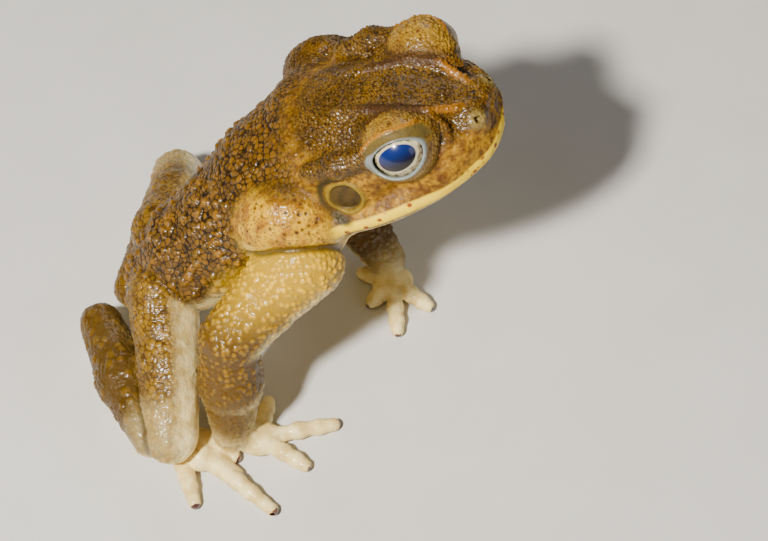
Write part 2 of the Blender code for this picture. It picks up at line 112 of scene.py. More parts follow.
def ramp(values: Points, low: float, high: float) -> Points:
    """Rise smoothly from 0 at low to 1 at high, or fall where high is the lower one."""
    t = np.clip((values - low) / (high - low), 0.0, 1.0)
    return t * t * (3.0 - 2.0 * t)


def bump(values: Points, middle: float, width: float) -> Points:
    """A rounded hill of height 1 about a middle value, down to 0 at a width from it."""
    return ramp(np.abs(values - middle), width, 0.0)


def length(vectors: Points) -> Points:
    """The lengths of rows of vectors."""
    return np.sqrt(np.einsum("ij,ij->i", vectors, vectors))


@dataclass(frozen=True)
class Rod:
    """A swelling or thinning stick with rounded ends, or a ball where both ends are one."""

    start: Triple
    end: Triple
    first: Triple
    last: Triple

    def reach(self) -> tuple[Points, float]:
        """The middle of the rod and the radius of a ball that holds it."""
        a, b = np.array(self.start), np.array(self.end)
        return (a + b) / 2, float(np.linalg.norm(b - a) / 2 + max(self.first + self.last))

    def distance(self, points: Points) -> Points:
        """Roughly how far each point is outside the rod.

        Args:
            points: Rows of x, y, z.

        Returns:
            Millimetres, below 0 inside.
        """
        a, axis = np.array(self.start), np.subtract(self.end, self.start)
        along = points - a
        size = float(axis @ axis)
        h = np.clip(along @ axis / size, 0.0, 1.0)[:, None] if size else np.zeros((len(points), 1))
        across = along - h * axis
        if len(set(self.first)) == 1 and len(set(self.last)) == 1:
            return length(across) - (self.first[0] + h[:, 0] * (self.last[0] - self.first[0]))
        radii = np.array(self.first) + h * np.subtract(self.last, self.first)
        outer = length(across / radii)
        return outer * (outer - 1.0) / np.maximum(length(across / radii**2), 1e-6)


def ball(centre: Triple, radii: Triple | float) -> Rod:
    """An ellipsoid along the axes, or a ball."""
    sides = (radii,) * 3 if isinstance(radii, (int, float)) else radii
    return Rod(centre, centre, sides, sides)


def chain(joints: Sequence[Joint]) -> list[Rod]:
    """Rods of round section through joints, each a place and a radius."""
    return [Rod(a, b, (ra,) * 3, (rb,) * 3) for (a, ra), (b, rb) in zip(joints, joints[1:])]


def gathered(points: Points, rods: Sequence[Rod], blend: float) -> Points:
    """Distances to several rods blended into one form.

    Args:
        points: Rows of x, y, z.
        rods: The rods.
        blend: How softly they run together, in millimetres.

    Returns:
        Distances, which stop at FAR away from the form.
    """
    total = np.full(len(points), FAR)
    for rod in rods:
        middle, radius = rod.reach()
        near = np.flatnonzero(((points - middle) ** 2).sum(1) < (radius + FAR) ** 2)
        if len(near):
            total[near] = soft_min(total[near], rod.distance(points[near]), blend)
    return total


def line(places: Sequence[Triple], radius: float) -> list[Rod]:
    """Rods of one radius through places."""
    return chain([(place, radius) for place in places])


def between(a: Triple, b: Triple, share: float, lift: float = 0.0) -> Triple:
    """A point part of the way from one to another, raised by some millimetres."""
    x, y, z = (p + (q - p) * share for p, q in zip(a, b))
    return (x, y, z + lift)


def nearest_of(points: Points, places: Sequence[Triple]) -> Points:
    """How far each point is from the nearest of some places."""
    return np.min([length(points - np.array(place)) for place in places], axis=0)


# Parts of the toad as forms

LIP_LINE = (
    (16.6, 0.0, -9.2), (15.8, 5.0, -9.5), (13.2, 9.4, -10.2), (6.3, 15.2, -11.2),
    (0.0, 18.5, -12.0), (-8.0, 20.9, -13.3), (-16.5, 22.0, -14.3), (-23.0, 21.0, -14.6),
    (-29.0, 15.0, -14.6), (-31.0, 0.0, -14.6),
)


@dataclass(frozen=True)
class HeadPlace:
    """Where the head sits: it is turned to the toad's right and its snout is raised."""

    at: Triple = (31.2, 2.2, 66.9)
    yaw: float = -14.0
    pitch: float = 12.7

    def matrix(self) -> Matrix:
        """From the head's own frame to the toad's."""
        turn = Euler((0.0, math.radians(-self.pitch), math.radians(self.yaw)))
        return Matrix.Translation(Vector(self.at)) @ turn.to_matrix().to_4x4()

    def inward(self, points: Points) -> Points:
        """Points of the toad's frame, in the head's own."""
        turn = np.array(self.matrix().to_3x3())
        return (points - np.array(self.at)) @ turn

    def left(self, points: Points) -> tuple[Points, Points]:
        """Lay the head's right half on its left.

        Args:
            points: Rows in the toad's frame.

        Returns:
            The points in the head's frame, all on the left, and which of them come from the right.
        """
        local = self.inward(points)
        right = local[:, 1] < 0
        local[:, 1] = np.abs(local[:, 1])
        return local, right


@dataclass
class Eyelids:
    """The dome over an eye, its opening and the folds round it, for the left side."""

    axis: Triple
    tilt: float
    centre: Triple = (0.5, 12.3, 1.5)
    dome: float = 7.0
    globe: float = 6.1
    width: float = 5.85
    upper: float = 3.7
    lower: float = 4.6
    roundness: float = 1.85
    socket: float = 0.9
    rim: float = 0.5
    rim_out: float = 6.75
    rim_thinning: float = 0.35
    rim_thin_at: float = 2.5
    hole_edge: float = 0.3
    rim_blend: float = 0.5
    fold_at: float = 2.3

    def axes(self) -> Points:
        """Find the eye's own directions.

        Returns:
            Rows of unit vectors: forward, up and out of the eye.
        """
        out = Vector(self.axis).normalized()
        forward = (Vector((1.0, 0.0, 0.0)) - out * out.x).normalized()
        up = forward.cross(out)
        turn = Matrix.Rotation(math.radians(self.tilt), 3, out)
        return np.array([turn @ forward, turn @ up, out])

    def parts(self, points: Points) -> tuple[Points, ...]:
        """Where points lie about the opening.

        Args:
            points: Rows in the head's frame, all on the left.

        Returns:
            Distance from the eye's centre, distance outside the opening's edge as seen along the eye,
            height above the eye's middle, distance in front of it and distance forward of it.
        """
        local = (points - np.array(self.centre)) @ self.axes().T
        u, v, w = local.T
        tall = np.where(v > 0, self.upper, self.lower)
        power = self.roundness
        edge = (np.abs(u / self.width) ** power + np.abs(v / tall) ** power) ** (1 / power) - 1.0
        return length(local), edge * 0.5 * (self.width + tall), v, w, u

    def shaped(self, skin: Points, points: Points) -> Points:
        """Open the lids in the skin and raise their rims.

        Args:
            skin: Distances to the skin so far.
            points: Rows in the head's frame, all on the left.

        Returns:
            New distances.
        """
        out, edge, high, front, _ = self.parts(points)
        hole = np.maximum(np.maximum(edge, self.globe - self.socket - out), -front)
        skin = soft_max(skin, -hole, self.hole_edge)
        thinner = self.rim_thinning * ramp(high, 0.0, self.rim_thin_at)
        ring = np.hypot(edge, out - self.rim_out) - self.rim * (1.0 - thinner)
        return np.where(front > 0, soft_min(skin, ring, self.rim_blend), skin)


LIDS = {"R": Eyelids((0.2, 0.94, 0.46), -19.0), "L": Eyelids((-0.04, 0.97, -0.04), -4.0)}


class Lips:
    """The smooth outline of the lips, seen from above as a reach in every direction from a middle point."""

    middle: float = -6.0
    steps: int = 12

    def __init__(self, line: Sequence[Triple]) -> None:
        """Lay a curve through the line's points and tabulate it by direction.

        Args:
            line: Points of the head's frame from the middle of the snout back along the left jaw.
        """
        ends = [(x, -y, z) for x, y, z in line[1:2]] + list(line) + [line[-1]]
        knots = np.array(ends)
        made = []
        for a, b, c, d in zip(knots, knots[1:], knots[2:], knots[3:]):
            for t in np.arange(self.steps) / self.steps:
                bend = (2 * a - 5 * b + 4 * c - d) * t + (3 * b - a - 3 * c + d) * t * t
                made.append(b + ((c - a) + bend) * t / 2)
        curve = np.array(made + [knots[-1]])
        across = curve[:, 0] - self.middle
        self.angles = np.arctan2(curve[:, 1], across)
        self.reach = np.hypot(across, curve[:, 1])
        self.heights = curve[:, 2]
        slope = np.gradient(self.reach, self.angles)
        self.lean = self.reach / np.hypot(self.reach, slope)

    def parts(self, local: Points) -> tuple[Points, Points]:
        """Where points lie about the lips.

        Args:
            local: Rows in the head's frame, all on the left.

        Returns:
            How far they lie outside the outline as seen from above, and above the line of the mouth.
        """
        across = local[:, 0] - self.middle
        angle = np.arctan2(local[:, 1], across)
        beyond = np.hypot(across, local[:, 1]) - np.interp(angle, self.angles, self.reach)
        rise = local[:, 2] - np.interp(angle, self.angles, self.heights)
        return beyond * np.interp(angle, self.angles, self.lean), rise


def rim(beyond: Points, rise: Points, radius: float) -> Points:
    """Distances to a flat plate with a round edge of some radius."""
    return np.hypot(np.maximum(beyond + radius, 0.0), rise) - radius


@dataclass
class Head:
    """The head in its own frame, whose origin lies midway between the eyes, as its left half."""

    place: HeadPlace = field(default_factory=HeadPlace)
    lips: Lips = field(default_factory=lambda: Lips(LIP_LINE))
    reach: float = 46.0
    melt: float = 2.4
    crest: tuple[Triple, ...] = (
        (-14.0, 4.8, 4.0), (-7.0, 5.5, 4.9), (0.0, 6.6, 5.6),
        (6.0, 6.1, 4.7), (10.6, 3.7, 2.2), (14.6, 0.8, -0.4),
    )
    crest_radius: float = 0.8
    rope: tuple[Triple, ...] = ((6.6, 7.2, 4.2), (8.8, 8.0, 1.8), (9.0, 9.4, -0.8), (7.8, 11.4, -2.6))
    rope_radius: float = 0.7
    temple: tuple[Triple, ...] = ((-5.0, 15.0, 3.0), (-12.0, 16.4, 1.2), (-19.0, 16.2, -1.6))
    temple_radius: float = 2.2
    lip_round: float = 2.5
    lip_at: Pair = (0.1, 1.6)
    jaw_at: Pair = (-2.6, -1.8)
    mouth_gap: float = 0.16
    mouth_depth: float = 1.1
    mouth_corner: float = -17.5
    nostril: Triple = (14.5, 5.0, 0.0)
    nostril_radii: Triple = (1.0, 0.8, 0.8)
    ear: Triple = (-12.2, 19.6, -5.6)
    ear_way: Triple = (-0.1, 0.97, 0.22)
    ear_radius: float = 3.5
    ear_depth: float = 3.0
    drum_sunk: float = 0.35
    ring_raised: float = 0.4
    masses: tuple[Rod, ...] = (
        ball((-6.0, 0.0, -4.0), (17.0, 14.0, 8.0)),
        ball((-6.0, 0.0, -9.5), (19.0, 17.5, 6.5)),
        ball((6.4, 0.0, -4.7), (9.8, 8.2, 6.8)),
        Rod((12.4, 3.2, -0.4), (13.2, 4.8, -6.2), (1.4, 1.4, 1.4), (2.4, 2.4, 2.4)),
        ball((-6.0, 0.0, 0.4), (16.0, 10.5, 4.7)),
        ball((-19.0, 0.0, -7.0), (11.0, 16.5, 9.0)),
        ball((-7.0, 0.0, -13.0), (17.0, 15.5, 5.0)),
        Rod((-2.0, 0.0, 1.0), (11.6, 0.0, -1.9), (7.0, 7.8, 3.9), (3.6, 5.0, 3.4)),
        ball((-13.0, 12.5, -6.8), (9.5, 7.0, 6.8)),
        ball((6.5, 6.8, -4.8), (7.6, 5.6, 5.4)),
        ball((0.0, 8.6, 2.4), (8.4, 5.2, 3.2)),
        ball((13.7, 4.2, -1.1), 2.1),
        ball((3.0, 11.0, -6.6), (7.5, 5.0, 4.5)),
        ball((-6.5, 13.2, -3.4), (5.5, 4.6, 4.2)),
    )

    def rods(self) -> list[Rod]:
        """The head's masses and the bulge over its ear."""
        return list(self.masses) + line(self.temple, self.temple_radius)

    def ridges(self) -> list[Rod]:
        """The bony ridges over the eye and in front of it."""
        return line(self.crest, self.crest_radius) + line(self.rope, self.rope_radius)

    def ear_parts(self, local: Points) -> tuple[Points, Points]:
        """Where points lie about the eardrum.

        Args:
            local: Rows in the head's frame, all on the left.

        Returns:
            How far they lie from its middle, across its plane, and which of them lie near that plane.
        """
        away = local - np.array(self.ear)
        out = np.array(self.ear_way)
        out /= np.linalg.norm(out)
        deep = away @ out
        return length(away - deep[:, None] * out), np.abs(deep) < self.ear_depth

    def distance(self, points: Points) -> Points:
        """Measure the head's skin, with its lids, mouth, nostrils and eardrums.

        Args:
            points: Rows in the toad's frame.

        Returns:
            Distances.
        """
        total = np.full(len(points), FAR)
        near = np.flatnonzero(((points - np.array(self.place.at)) ** 2).sum(1) < self.reach**2)
        if not len(near):
            return total
        local, right = self.place.left(points[near])
        skin = gathered(local, self.rods(), self.melt)
        beyond, rise = self.lips.parts(local)
        for (out, up), blend in ((self.lip_at, 2.0), (self.jaw_at, 0.8)):
            skin = soft_min(skin, rim(beyond - out, rise - up, self.lip_round), blend)
        skin = soft_min(skin, ball(LIDS["R"].centre, LIDS["R"].dome).distance(local), 2.0)
        skin = soft_min(skin, gathered(local, self.ridges(), 0.5), 1.1)
        for side, lids in LIDS.items():
            here = right == (side == "R")
            skin[here] = lids.shaped(skin[here], local[here])
        mouth = np.maximum(np.abs(rise) - self.mouth_gap, -(skin + self.mouth_depth))
        mouth = np.maximum(mouth, self.mouth_corner - local[:, 0])
        skin = soft_max(skin, -mouth, 0.35)
        skin = soft_max(skin, -ball(self.nostril, self.nostril_radii).distance(local), 0.3)
        across, at_ear = self.ear_parts(local)
        sunk = self.drum_sunk * ramp(across, self.ear_radius, self.ear_radius - 0.7)
        ring = self.ring_raised * bump(across, self.ear_radius + 0.1, 0.75)
        total[near] = skin + at_ear * (sunk - ring)
        return total


@dataclass
class Gland:
    """The swollen gland behind an ear, in the head's frame and for the left side."""

    place: HeadPlace = field(default_factory=HeadPlace)
    at: Triple = (-27.0, 18.6, -16.0)
    radii: Triple = (10.4, 7.4, 12.8)
    turn: Triple = (10.0, 8.0, -12.0)
    low_at: Triple = (-27.5, 20.4, -12.8)
    low_radii: Triple = (9.6, 6.4, 8.0)
    blend: float = 1.5

    def local(self, points: Points) -> Points:
        """Place points about the nearer gland.

        Args:
            points: Rows in the toad's frame.

        Returns:
            Rows about the gland's middle, along its own axes.
        """
        pitch, yaw, roll = (math.radians(a) for a in self.turn)
        turn = np.array(Euler((roll, pitch, yaw)).to_matrix())
        return (self.place.left(points)[0] - np.array(self.at)) @ turn

    def distance(self, points: Points) -> Points:
        """Measure both glands, which bulge most at their lower ends.

        Args:
            points: Rows in the toad's frame.

        Returns:
            Distances.
        """
        swollen = ball(self.low_at, self.low_radii).distance(self.place.left(points)[0])
        upper = ball((0.0, 0.0, 0.0), self.radii).distance(self.local(points))
        return np.minimum(soft_min(upper, swollen, self.blend), FAR)


@dataclass
class Trunk:
    """The trunk: each station is a place, half its width and half its depth."""

    stations: tuple[tuple[Triple, float, float], ...] = (
        ((-29.5, -0.5, 14.5), 7.5, 6.5),
        ((-25.0, 0.0, 20.5), 10.5, 9.0),
        ((-18.5, 0.0, 26.6), 12.3, 11.2),
        ((-8.7, 0.9, 32.6), 14.8, 13.2),
        ((0.8, 3.8, 41.0), 17.1, 13.6),
        ((10.0, 6.4, 50.3), 19.6, 11.8),
    )
    blend: float = 3.0
    back_way: Triple = (-0.62, 0.0, 0.78)

    def distance(self, points: Points) -> Points:
        """Measure the trunk.

        Args:
            points: Rows in the toad's frame.

        Returns:
            Distances.
        """
        ends = [(place, (deep, wide, deep)) for place, wide, deep in self.stations]
        rods = [Rod(a, b, ra, rb) for (a, ra), (b, rb) in zip(ends, ends[1:])]
        return gathered(points, rods, self.blend)

    def back(self, normals: Points) -> Points:
        """How much a surface belongs to the back, by its normals, from 0 on the belly to 1."""
        return ramp(normals @ np.array(self.back_way), -0.35, 0.25)


@dataclass(frozen=True)
class Digit:
    """How a finger or toe swells and thins: each joint is a share of its length, a lift and a radius."""

    root_share: float
    root_height: float
    root_radius: float
    joints: tuple[Triple, ...]
    tip_height: float = 1.25


FINGER = Digit(0.2, 1.9, 1.9, ((0.36, 0.3, 1.5), (0.42, 0.4, 1.75), (0.7, 0.25, 1.4), (0.76, 0.2, 1.6)))
TOE = Digit(0.45, 2.0, 1.9, ((0.4, 0.3, 1.75), (0.52, 0.2, 1.4), (0.62, 0.2, 1.6), (0.85, 0.05, 1.25)))


def digit(start: Triple, tip: Pair, kind: Digit, tip_radius: float) -> list[Joint]:
    """Lay out a finger or toe.

    Args:
        start: The palm or ankle that it leaves.
        tip: Where it ends on the floor.
        kind: How it swells and thins.
        tip_radius: The radius of its end.

    Returns:
        Its joints with their radii, from its root out.
    """
    end = (*tip, kind.tip_height)
    root = between((*start[:2], kind.root_height), (*tip, kind.root_height), kind.root_share)
    middle = [(between(root, end, share, lift), radius) for share, lift, radius in kind.joints]
    return [(root, kind.root_radius)] + middle + [(end, tip_radius)]


@dataclass
class Arm:
    """One arm, from the shoulder to its four fingers."""

    shoulder: Triple
    elbow: Triple
    wrist: Triple
    palm: Triple
    tips: tuple[Pair, ...]

    def upper(self) -> list[Rod]:
        """The upper arm."""
        middle = between(self.shoulder, self.elbow, 0.55)
        return chain([(self.shoulder, 8.8), (middle, 6.9), (self.elbow, 6.4)])

    def fore(self) -> list[Rod]:
        """The forearm."""
        middle = between(self.elbow, self.wrist, 0.45)
        return chain([(self.elbow, 5.9), (middle, 6.5), (self.wrist, 4.1)])

    def digits(self) -> list[list[Joint]]:
        """Each finger's joints with their radii, from the palm out."""
        return [digit(self.palm, tip, FINGER, 1.4) for tip in self.tips]

    def hand(self) -> list[Rod]:
        """The palm and fingers."""
        rods = [ball(self.palm, (4.6, 4.2, 2.5))] + chain([(self.wrist, 3.7), (self.palm, 2.5)])
        return sum((chain(finger) for finger in self.digits()), rods)


@dataclass
class Leg:
    """One hind leg, folded as the toad sits, from the hip to its five toes."""

    hip: Triple
    thigh: Triple
    knee: Triple
    shin: Triple
    calf: Triple
    heel: Triple
    joint: Triple
    sole: Triple
    tips: tuple[Pair, ...]

    def upper(self) -> list[Rod]:
        """The thigh."""
        return chain([(self.hip, 7.6), (self.thigh, 6.5), (self.knee, 6.0)])

    def shank(self) -> list[Rod]:
        """The shank."""
        return chain([(self.shin, 5.2), (self.calf, 6.0), (self.heel, 4.5)])

    def digits(self) -> list[list[Joint]]:
        """Each toe's joints with their radii, from the ankle out."""
        return [[(self.joint, 2.3)] + digit(self.joint, tip, TOE, 1.35) for tip in self.tips]

    def foot(self) -> list[Rod]:
        """The long ankle, the sole and the toes."""
        rods = chain([(self.heel, 4.2), (self.joint, 3.0), (self.sole, 3.1)])
        return sum((chain(toe) for toe in self.digits()), rods)


ARMS = {
    "R": Arm(
        (5.2, -15.6, 41.4), (-11.3, -25.0, 29.0), (-14.3, -32.3, 5.0), (-9.0, -33.0, 2.4),
        ((-13.0, -23.5), (-7.0, -23.5), (7.0, -30.5), (0.6, -40.0)),
    ),
    "L": Arm(
        (12.0, 18.0, 43.5), (6.0, 27.0, 24.0), (20.0, 9.5, 5.0), (21.3, 4.4, 2.4),
        ((14.5, 8.5), (16.4, 0.5), (21.7, -7.7), (28.7, -1.9)),
    ),
}
LEGS = {
    "R": Leg(
        (-26.5, -8.0, 22.5), (-26.0, -21.5, 17.0), (-27.0, -34.8, 9.4),
        (-30.0, -33.8, 8.4), (-37.0, -19.5, 8.4), (-43.0, -3.6, 7.6),
        (-27.5, -29.5, 3.2), (-21.5, -36.5, 2.3),
        ((-17.0, -32.5), (-14.5, -36.5), (-13.9, -40.7), (-6.6, -50.0), (-23.0, -46.8)),
    ),
    "L": Leg(
        (-26.0, 8.5, 22.5), (-24.5, 21.0, 17.0), (-26.0, 33.8, 9.6),
        (-27.5, 32.8, 8.2), (-30.0, 19.5, 7.6), (-35.8, 5.8, 7.0),
        (-24.0, 27.5, 3.2), (-17.5, 34.0, 2.3),
        ((-12.0, 30.5), (-7.5, 34.5), (-4.5, 39.5), (3.5, 47.0), (-13.0, 45.0)),
    ),
}


@unique
class Zone(Enum):
    """The kinds of skin, each with how softly it runs into what was there before."""

    TRUNK = 0.1
    HEAD = 2.4
    GLAND = 4.0
    UPPER_ARM = 0.9
    THIGH = 1.4
    FOREARM = 1.0
    SHANK = 0.5
    HAND = 1.1
    FOOT = 0.8


@dataclass
class Body:
    """The whole toad as one form."""

    head: Head = field(default_factory=Head)
    gland: Gland = field(default_factory=Gland)
    trunk: Trunk = field(default_factory=Trunk)

    def zones(self, points: Points) -> dict[Zone, Points]:
        """Distances to each kind of skin.

        Args:
            points: Rows in the toad's frame.

        Returns:
            One array for each zone.
        """
        made = {Zone.TRUNK: self.trunk.distance(points), Zone.HEAD: self.head.distance(points)}
        made[Zone.GLAND] = self.gland.distance(points)
        limbs = (
            (Zone.UPPER_ARM, Arm.upper, ARMS, 1.2), (Zone.THIGH, Leg.upper, LEGS, 1.5),
            (Zone.FOREARM, Arm.fore, ARMS, 1.2), (Zone.SHANK, Leg.shank, LEGS, 1.5),
            (Zone.HAND, Arm.hand, ARMS, 0.8), (Zone.FOOT, Leg.foot, LEGS, 0.8),
        )
        for zone, rods_of, pair, blend in limbs:
            made[zone] = gathered(points, sum((rods_of(limb) for limb in pair.values()), []), blend)
        return made

    def distance(self, points: Points) -> Points:
        """Measure the toad's skin, which is flat where it meets the floor.

        Args:
            points: Rows in the toad's frame.

        Returns:
            Distances.
        """
        total = np.full(len(points), FAR)
        for zone, away in self.zones(points).items():
            total = soft_min(total, away, zone.value)
        return soft_max(total, FLOOR_GAP - points[:, 2], FLAT_EDGE)


# Grain of the skin


class Pebbles:
    """Random points scattered one to a cell, and how near each vertex is to one."""

    period: int = 48
    clear: float = 0.1

    def __init__(self, cell: float, seed: int) -> None:
        """Scatter the points.

        Args:
            cell: The cell's side in millimetres.
            seed: The draw's seed.
        """
        self.cell = cell
        self.table = np.random.default_rng(seed).random((self.period,) * 3 + (4,), np.float32)

    def nearest(self, points: Points) -> tuple[Points, Points, Points]:
        """Look for the two nearest scattered points.

        Args:
            points: Rows of x, y, z.

        Returns:
            Distances to the nearest and the second nearest, in cells, and the nearest one's own
            random number.
        """
        scaled = (points / self.cell).astype(np.float32)
        corner = np.floor(scaled).astype(np.int32)
        inside = scaled - corner
        first = np.full(len(points), 9.0, np.float32)
        second = first.copy()
        own = np.zeros(len(points), np.float32)
        for step in np.ndindex(3, 3, 3):
            shift = np.array(step) - 1
            drawn = self.table[tuple(((corner + shift) % self.period).T)]
            away = drawn[:, :3] * (1.0 - 2 * self.clear) + self.clear + shift - inside
            gap = np.einsum("ij,ij->i", away, away)
            closer = gap < first
            second = np.where(closer, first, np.minimum(second, gap))
            own = np.where(closer, drawn[:, 3], own)
            first = np.where(closer, gap, first)
        return np.sqrt(first), np.sqrt(second), own


def cobbles(near: tuple[Points, ...], width: float) -> Points:
    """Flat grains with narrow valleys between them, from what Pebbles.nearest gives."""
    rise = np.clip((near[1] - near[0]) / width, 0, 1)
    return rise * (2 - rise)


def beads(near: tuple[Points, ...], radius: float) -> Points:
    """Round grains that stand apart, from what Pebbles.nearest gives."""
    return np.clip(1 - (near[0] / radius) ** 2, 0, 1)


def waves(points: Points, size: float, seed: int) -> Points:
    """Slow wavering between -1 and 1.

    Args:
        points: Rows of x, y, z.
        size: Roughly the width of a wave in millimetres.
        seed: The draw's seed.

    Returns:
        One value for each point.
    """
    rng = np.random.default_rng(seed)
    total = np.zeros(len(points))
    for _ in range(6):
        way = rng.normal(size=3)
        way *= 2 * math.pi / (size * rng.uniform(0.7, 1.5) * np.linalg.norm(way))
        total += np.sin(points @ way + rng.uniform(0, 2 * math.pi))
    return total / 3.5


@dataclass
class Skin:
    """The one skin over head, trunk and limbs."""

    body: Body
    offset: Points
    limits: tuple[Vector, Vector]
    voxel: float = 0.5
    block: int = 8
    blocks_at_once: int = 400
    settling: int = 3
    most_moved: float = 0.3

    def grid(self, low: Points, high: Points) -> Points:
        """Measure the form on a lattice, but only near its surface.

        Args:
            low: The lattice's lowest corner.
            high: Its highest corner.

        Returns:
            The lattice of distances.
        """
        side = self.voxel * self.block
        count = np.ceil((high - low) / side).astype(int)
        axes = [low[i] + side * (np.arange(count[i]) + 0.5) for i in range(3)]
        centres = np.stack(np.meshgrid(*axes, indexing="ij"), -1).reshape(-1, 3)
        rough = self.body.distance(centres)
        lattice = np.where(rough > 0, FAR, -FAR).astype(np.float32).reshape(count)
        for axis in range(3):
            lattice = np.repeat(lattice, self.block, axis)
        near = np.flatnonzero(np.abs(rough) < side)
        cells = np.stack(np.unravel_index(near, count), -1) * self.block
        inner = np.stack(np.meshgrid(*[np.arange(self.block)] * 3, indexing="ij"), -1).reshape(-1, 3)
        for part in np.array_split(cells, max(1, len(cells) // self.blocks_at_once)):
            index = (part[:, None, :] + inner).reshape(-1, 3)
            points = low + index * self.voxel
            lattice[tuple(index.T)] = self.body.distance(points)
        return lattice

    def surface(self) -> tuple[Points, Points]:
        """Turn the form into a mesh of squares, on the toad's true surface.

        Returns:
            Vertices in millimetres and the squares' corners.
        """
        low, high = (np.array(corner) / MM - self.offset for corner in self.limits)
        low = low - MARGIN
        made = openvdb.FloatGrid(FAR)
        made.copyFromArray(self.grid(low, high + MARGIN))
        points, quads = made.convertToQuads(isovalue=0.0)
        return points * self.voxel + low, quads

    def finer(self, points: Points, quads: Points) -> bpy.types.Mesh:
        """Divide each square into four on a smooth surface.

        Args:
            points: Vertices in millimetres.
            quads: The squares' corners.

        Returns:
            The finer mesh.
        """
        mesh = bpy.data.meshes.new("skin")
        mesh.from_pydata(points.tolist(), [], quads.tolist())
        rough = placed("skin_rough", mesh)
        rough.modifiers.new("Divide", "SUBSURF").levels = 1
        bpy.context.view_layer.update()
        graph = bpy.context.evaluated_depsgraph_get()
        fine = bpy.data.meshes.new_from_object(rough.evaluated_get(graph))
        bpy.data.objects.remove(rough)
        return fine

    def make(self) -> bpy.types.Object:
        """Build the skin, raise its warts and write its masks.

        Returns:
            The skin.
        """
        points, quads = self.surface()
        log.info("rough skin of %d squares", len(quads))
        mesh = self.finer(points, quads)
        place = coordinates(mesh)
        for _ in range(self.settling):
            away = np.clip(self.body.distance(place), -self.most_moved, self.most_moved)
            place -= normals_of(mesh) * away[:, None]
            set_coordinates(mesh, place)
        normal = normals_of(mesh)
        relief = Relief(self.body, place, normal)
        place = place + normal * relief.height()[:, None]
        for name, values in relief.masks().items():
            write_rows(mesh, name, values)
        stand(mesh, place, self.offset, self.limits)
        return placed("skin", mesh)


def placed(name: str, data: bpy.types.ID) -> bpy.types.Object:
    """Put a mesh, camera or light into the scene.

    Args:
        name: The object's name.
        data: What it shows.

    Returns:
        The object.
    """
    made = bpy.data.objects.new(name, data)
    bpy.context.scene.collection.objects.link(made)
    return made


def rows(values: bpy.types.bpy_prop_collection, key: str) -> Points:
    """Read vectors of a mesh.

    Args:
        values: The mesh's vertices or vertex normals.
        key: What each of them calls its vector.

    Returns:
        One row for each.
    """
    flat = np.empty(len(values) * 3, np.float32)
    values.foreach_get(key, flat)
    return flat.reshape(-1, 3).astype(float)


def coordinates(mesh: bpy.types.Mesh) -> Points:
    """A mesh's vertices as rows."""
    return rows(mesh.vertices, "co")


def normals_of(mesh: bpy.types.Mesh) -> Points:
    """A mesh's vertex normals as rows."""
    return rows(mesh.vertex_normals, "vector")


def set_coordinates(mesh: bpy.types.Mesh, points: Points) -> None:
    """Move a mesh's vertices."""
    mesh.vertices.foreach_set("co", np.ascontiguousarray(points, np.float32).ravel())
    mesh.update()


def write_rows(mesh: bpy.types.Mesh, name: str, values: Points) -> None:
    """Write three numbers for each vertex as an attribute of a mesh."""
    layer = mesh.attributes.new(name, "FLOAT_VECTOR", "POINT")
    layer.data.foreach_set("vector", np.ascontiguousarray(values, np.float32).ravel())


def stand(mesh: bpy.types.Mesh, points: Points, offset: Points, limits: tuple[Vector, Vector]) -> None:
    """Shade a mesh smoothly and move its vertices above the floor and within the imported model's box.

    Args:
        mesh: The mesh.
        points: Where its vertices belong in the toad's frame.
        offset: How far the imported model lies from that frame.
        limits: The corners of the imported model's box, in metres.
    """
    points[:, 2] = np.maximum(points[:, 2], FLOOR_GAP)
    set_coordinates(mesh, np.clip((points + offset) * MM, *limits))
    mesh.shade_smooth()


# How deep each fold between two parts sinks, and how strongly painted shade darkens its colour.
FOLDS = {
    (Zone.GLAND, Zone.UPPER_ARM): 1.0,
    (Zone.GLAND, Zone.TRUNK): 0.12,
    (Zone.THIGH, Zone.SHANK): 0.8,
    (Zone.THIGH, Zone.TRUNK): 0.6,
    (Zone.UPPER_ARM, Zone.TRUNK): 0.4,
    (Zone.UPPER_ARM, Zone.FOREARM): 0.3,
    (Zone.THIGH, Zone.FOOT): 0.6,
    (Zone.FOREARM, Zone.THIGH): 0.8,
}


@dataclass(frozen=True)
class Grain:
    """How high each kind of grain stands on one kind of skin, in millimetres."""

    wart: float = 0.0
    pebble: float = 0.0
    grain: float = 0.0
    bead: float = 0.0


GRAINS = {
    "low_back": Grain(wart=0.75, pebble=0.22),
    "high_back": Grain(wart=0.18, pebble=0.26),
    "flank": Grain(grain=0.08),
    "upper_arm": Grain(pebble=0.42, grain=0.1),
    "forearm": Grain(pebble=0.38, grain=0.14),
    "crown": Grain(bead=0.18),
    "face": Grain(pebble=0.06, bead=0.15),
    "gland": Grain(pebble=0.18, grain=0.2),
    "leg": Grain(wart=0.34, pebble=0.16, grain=0.12),
    "end": Grain(grain=0.06),
}
MASKS = {
    "zone_top": ("head", "gland", "arm"),
    "zone_low": ("forearm", "leg", "pale"),
    "grain": ("wart", "pebble", "grain"),
    "chance": ("chance", "pebble_chance", "pore"),
    "face": ("lip", "margin", "crest"),
    "ear": ("drum", "ring", "fold"),
    "place": ("crown", "neck", "dome"),
    "tint": ("gold", "crease", "shank"),
    "mark": ("behind", "smooth", "gland_height"),
    "spot": ("nostril", "lip_spots"),
}


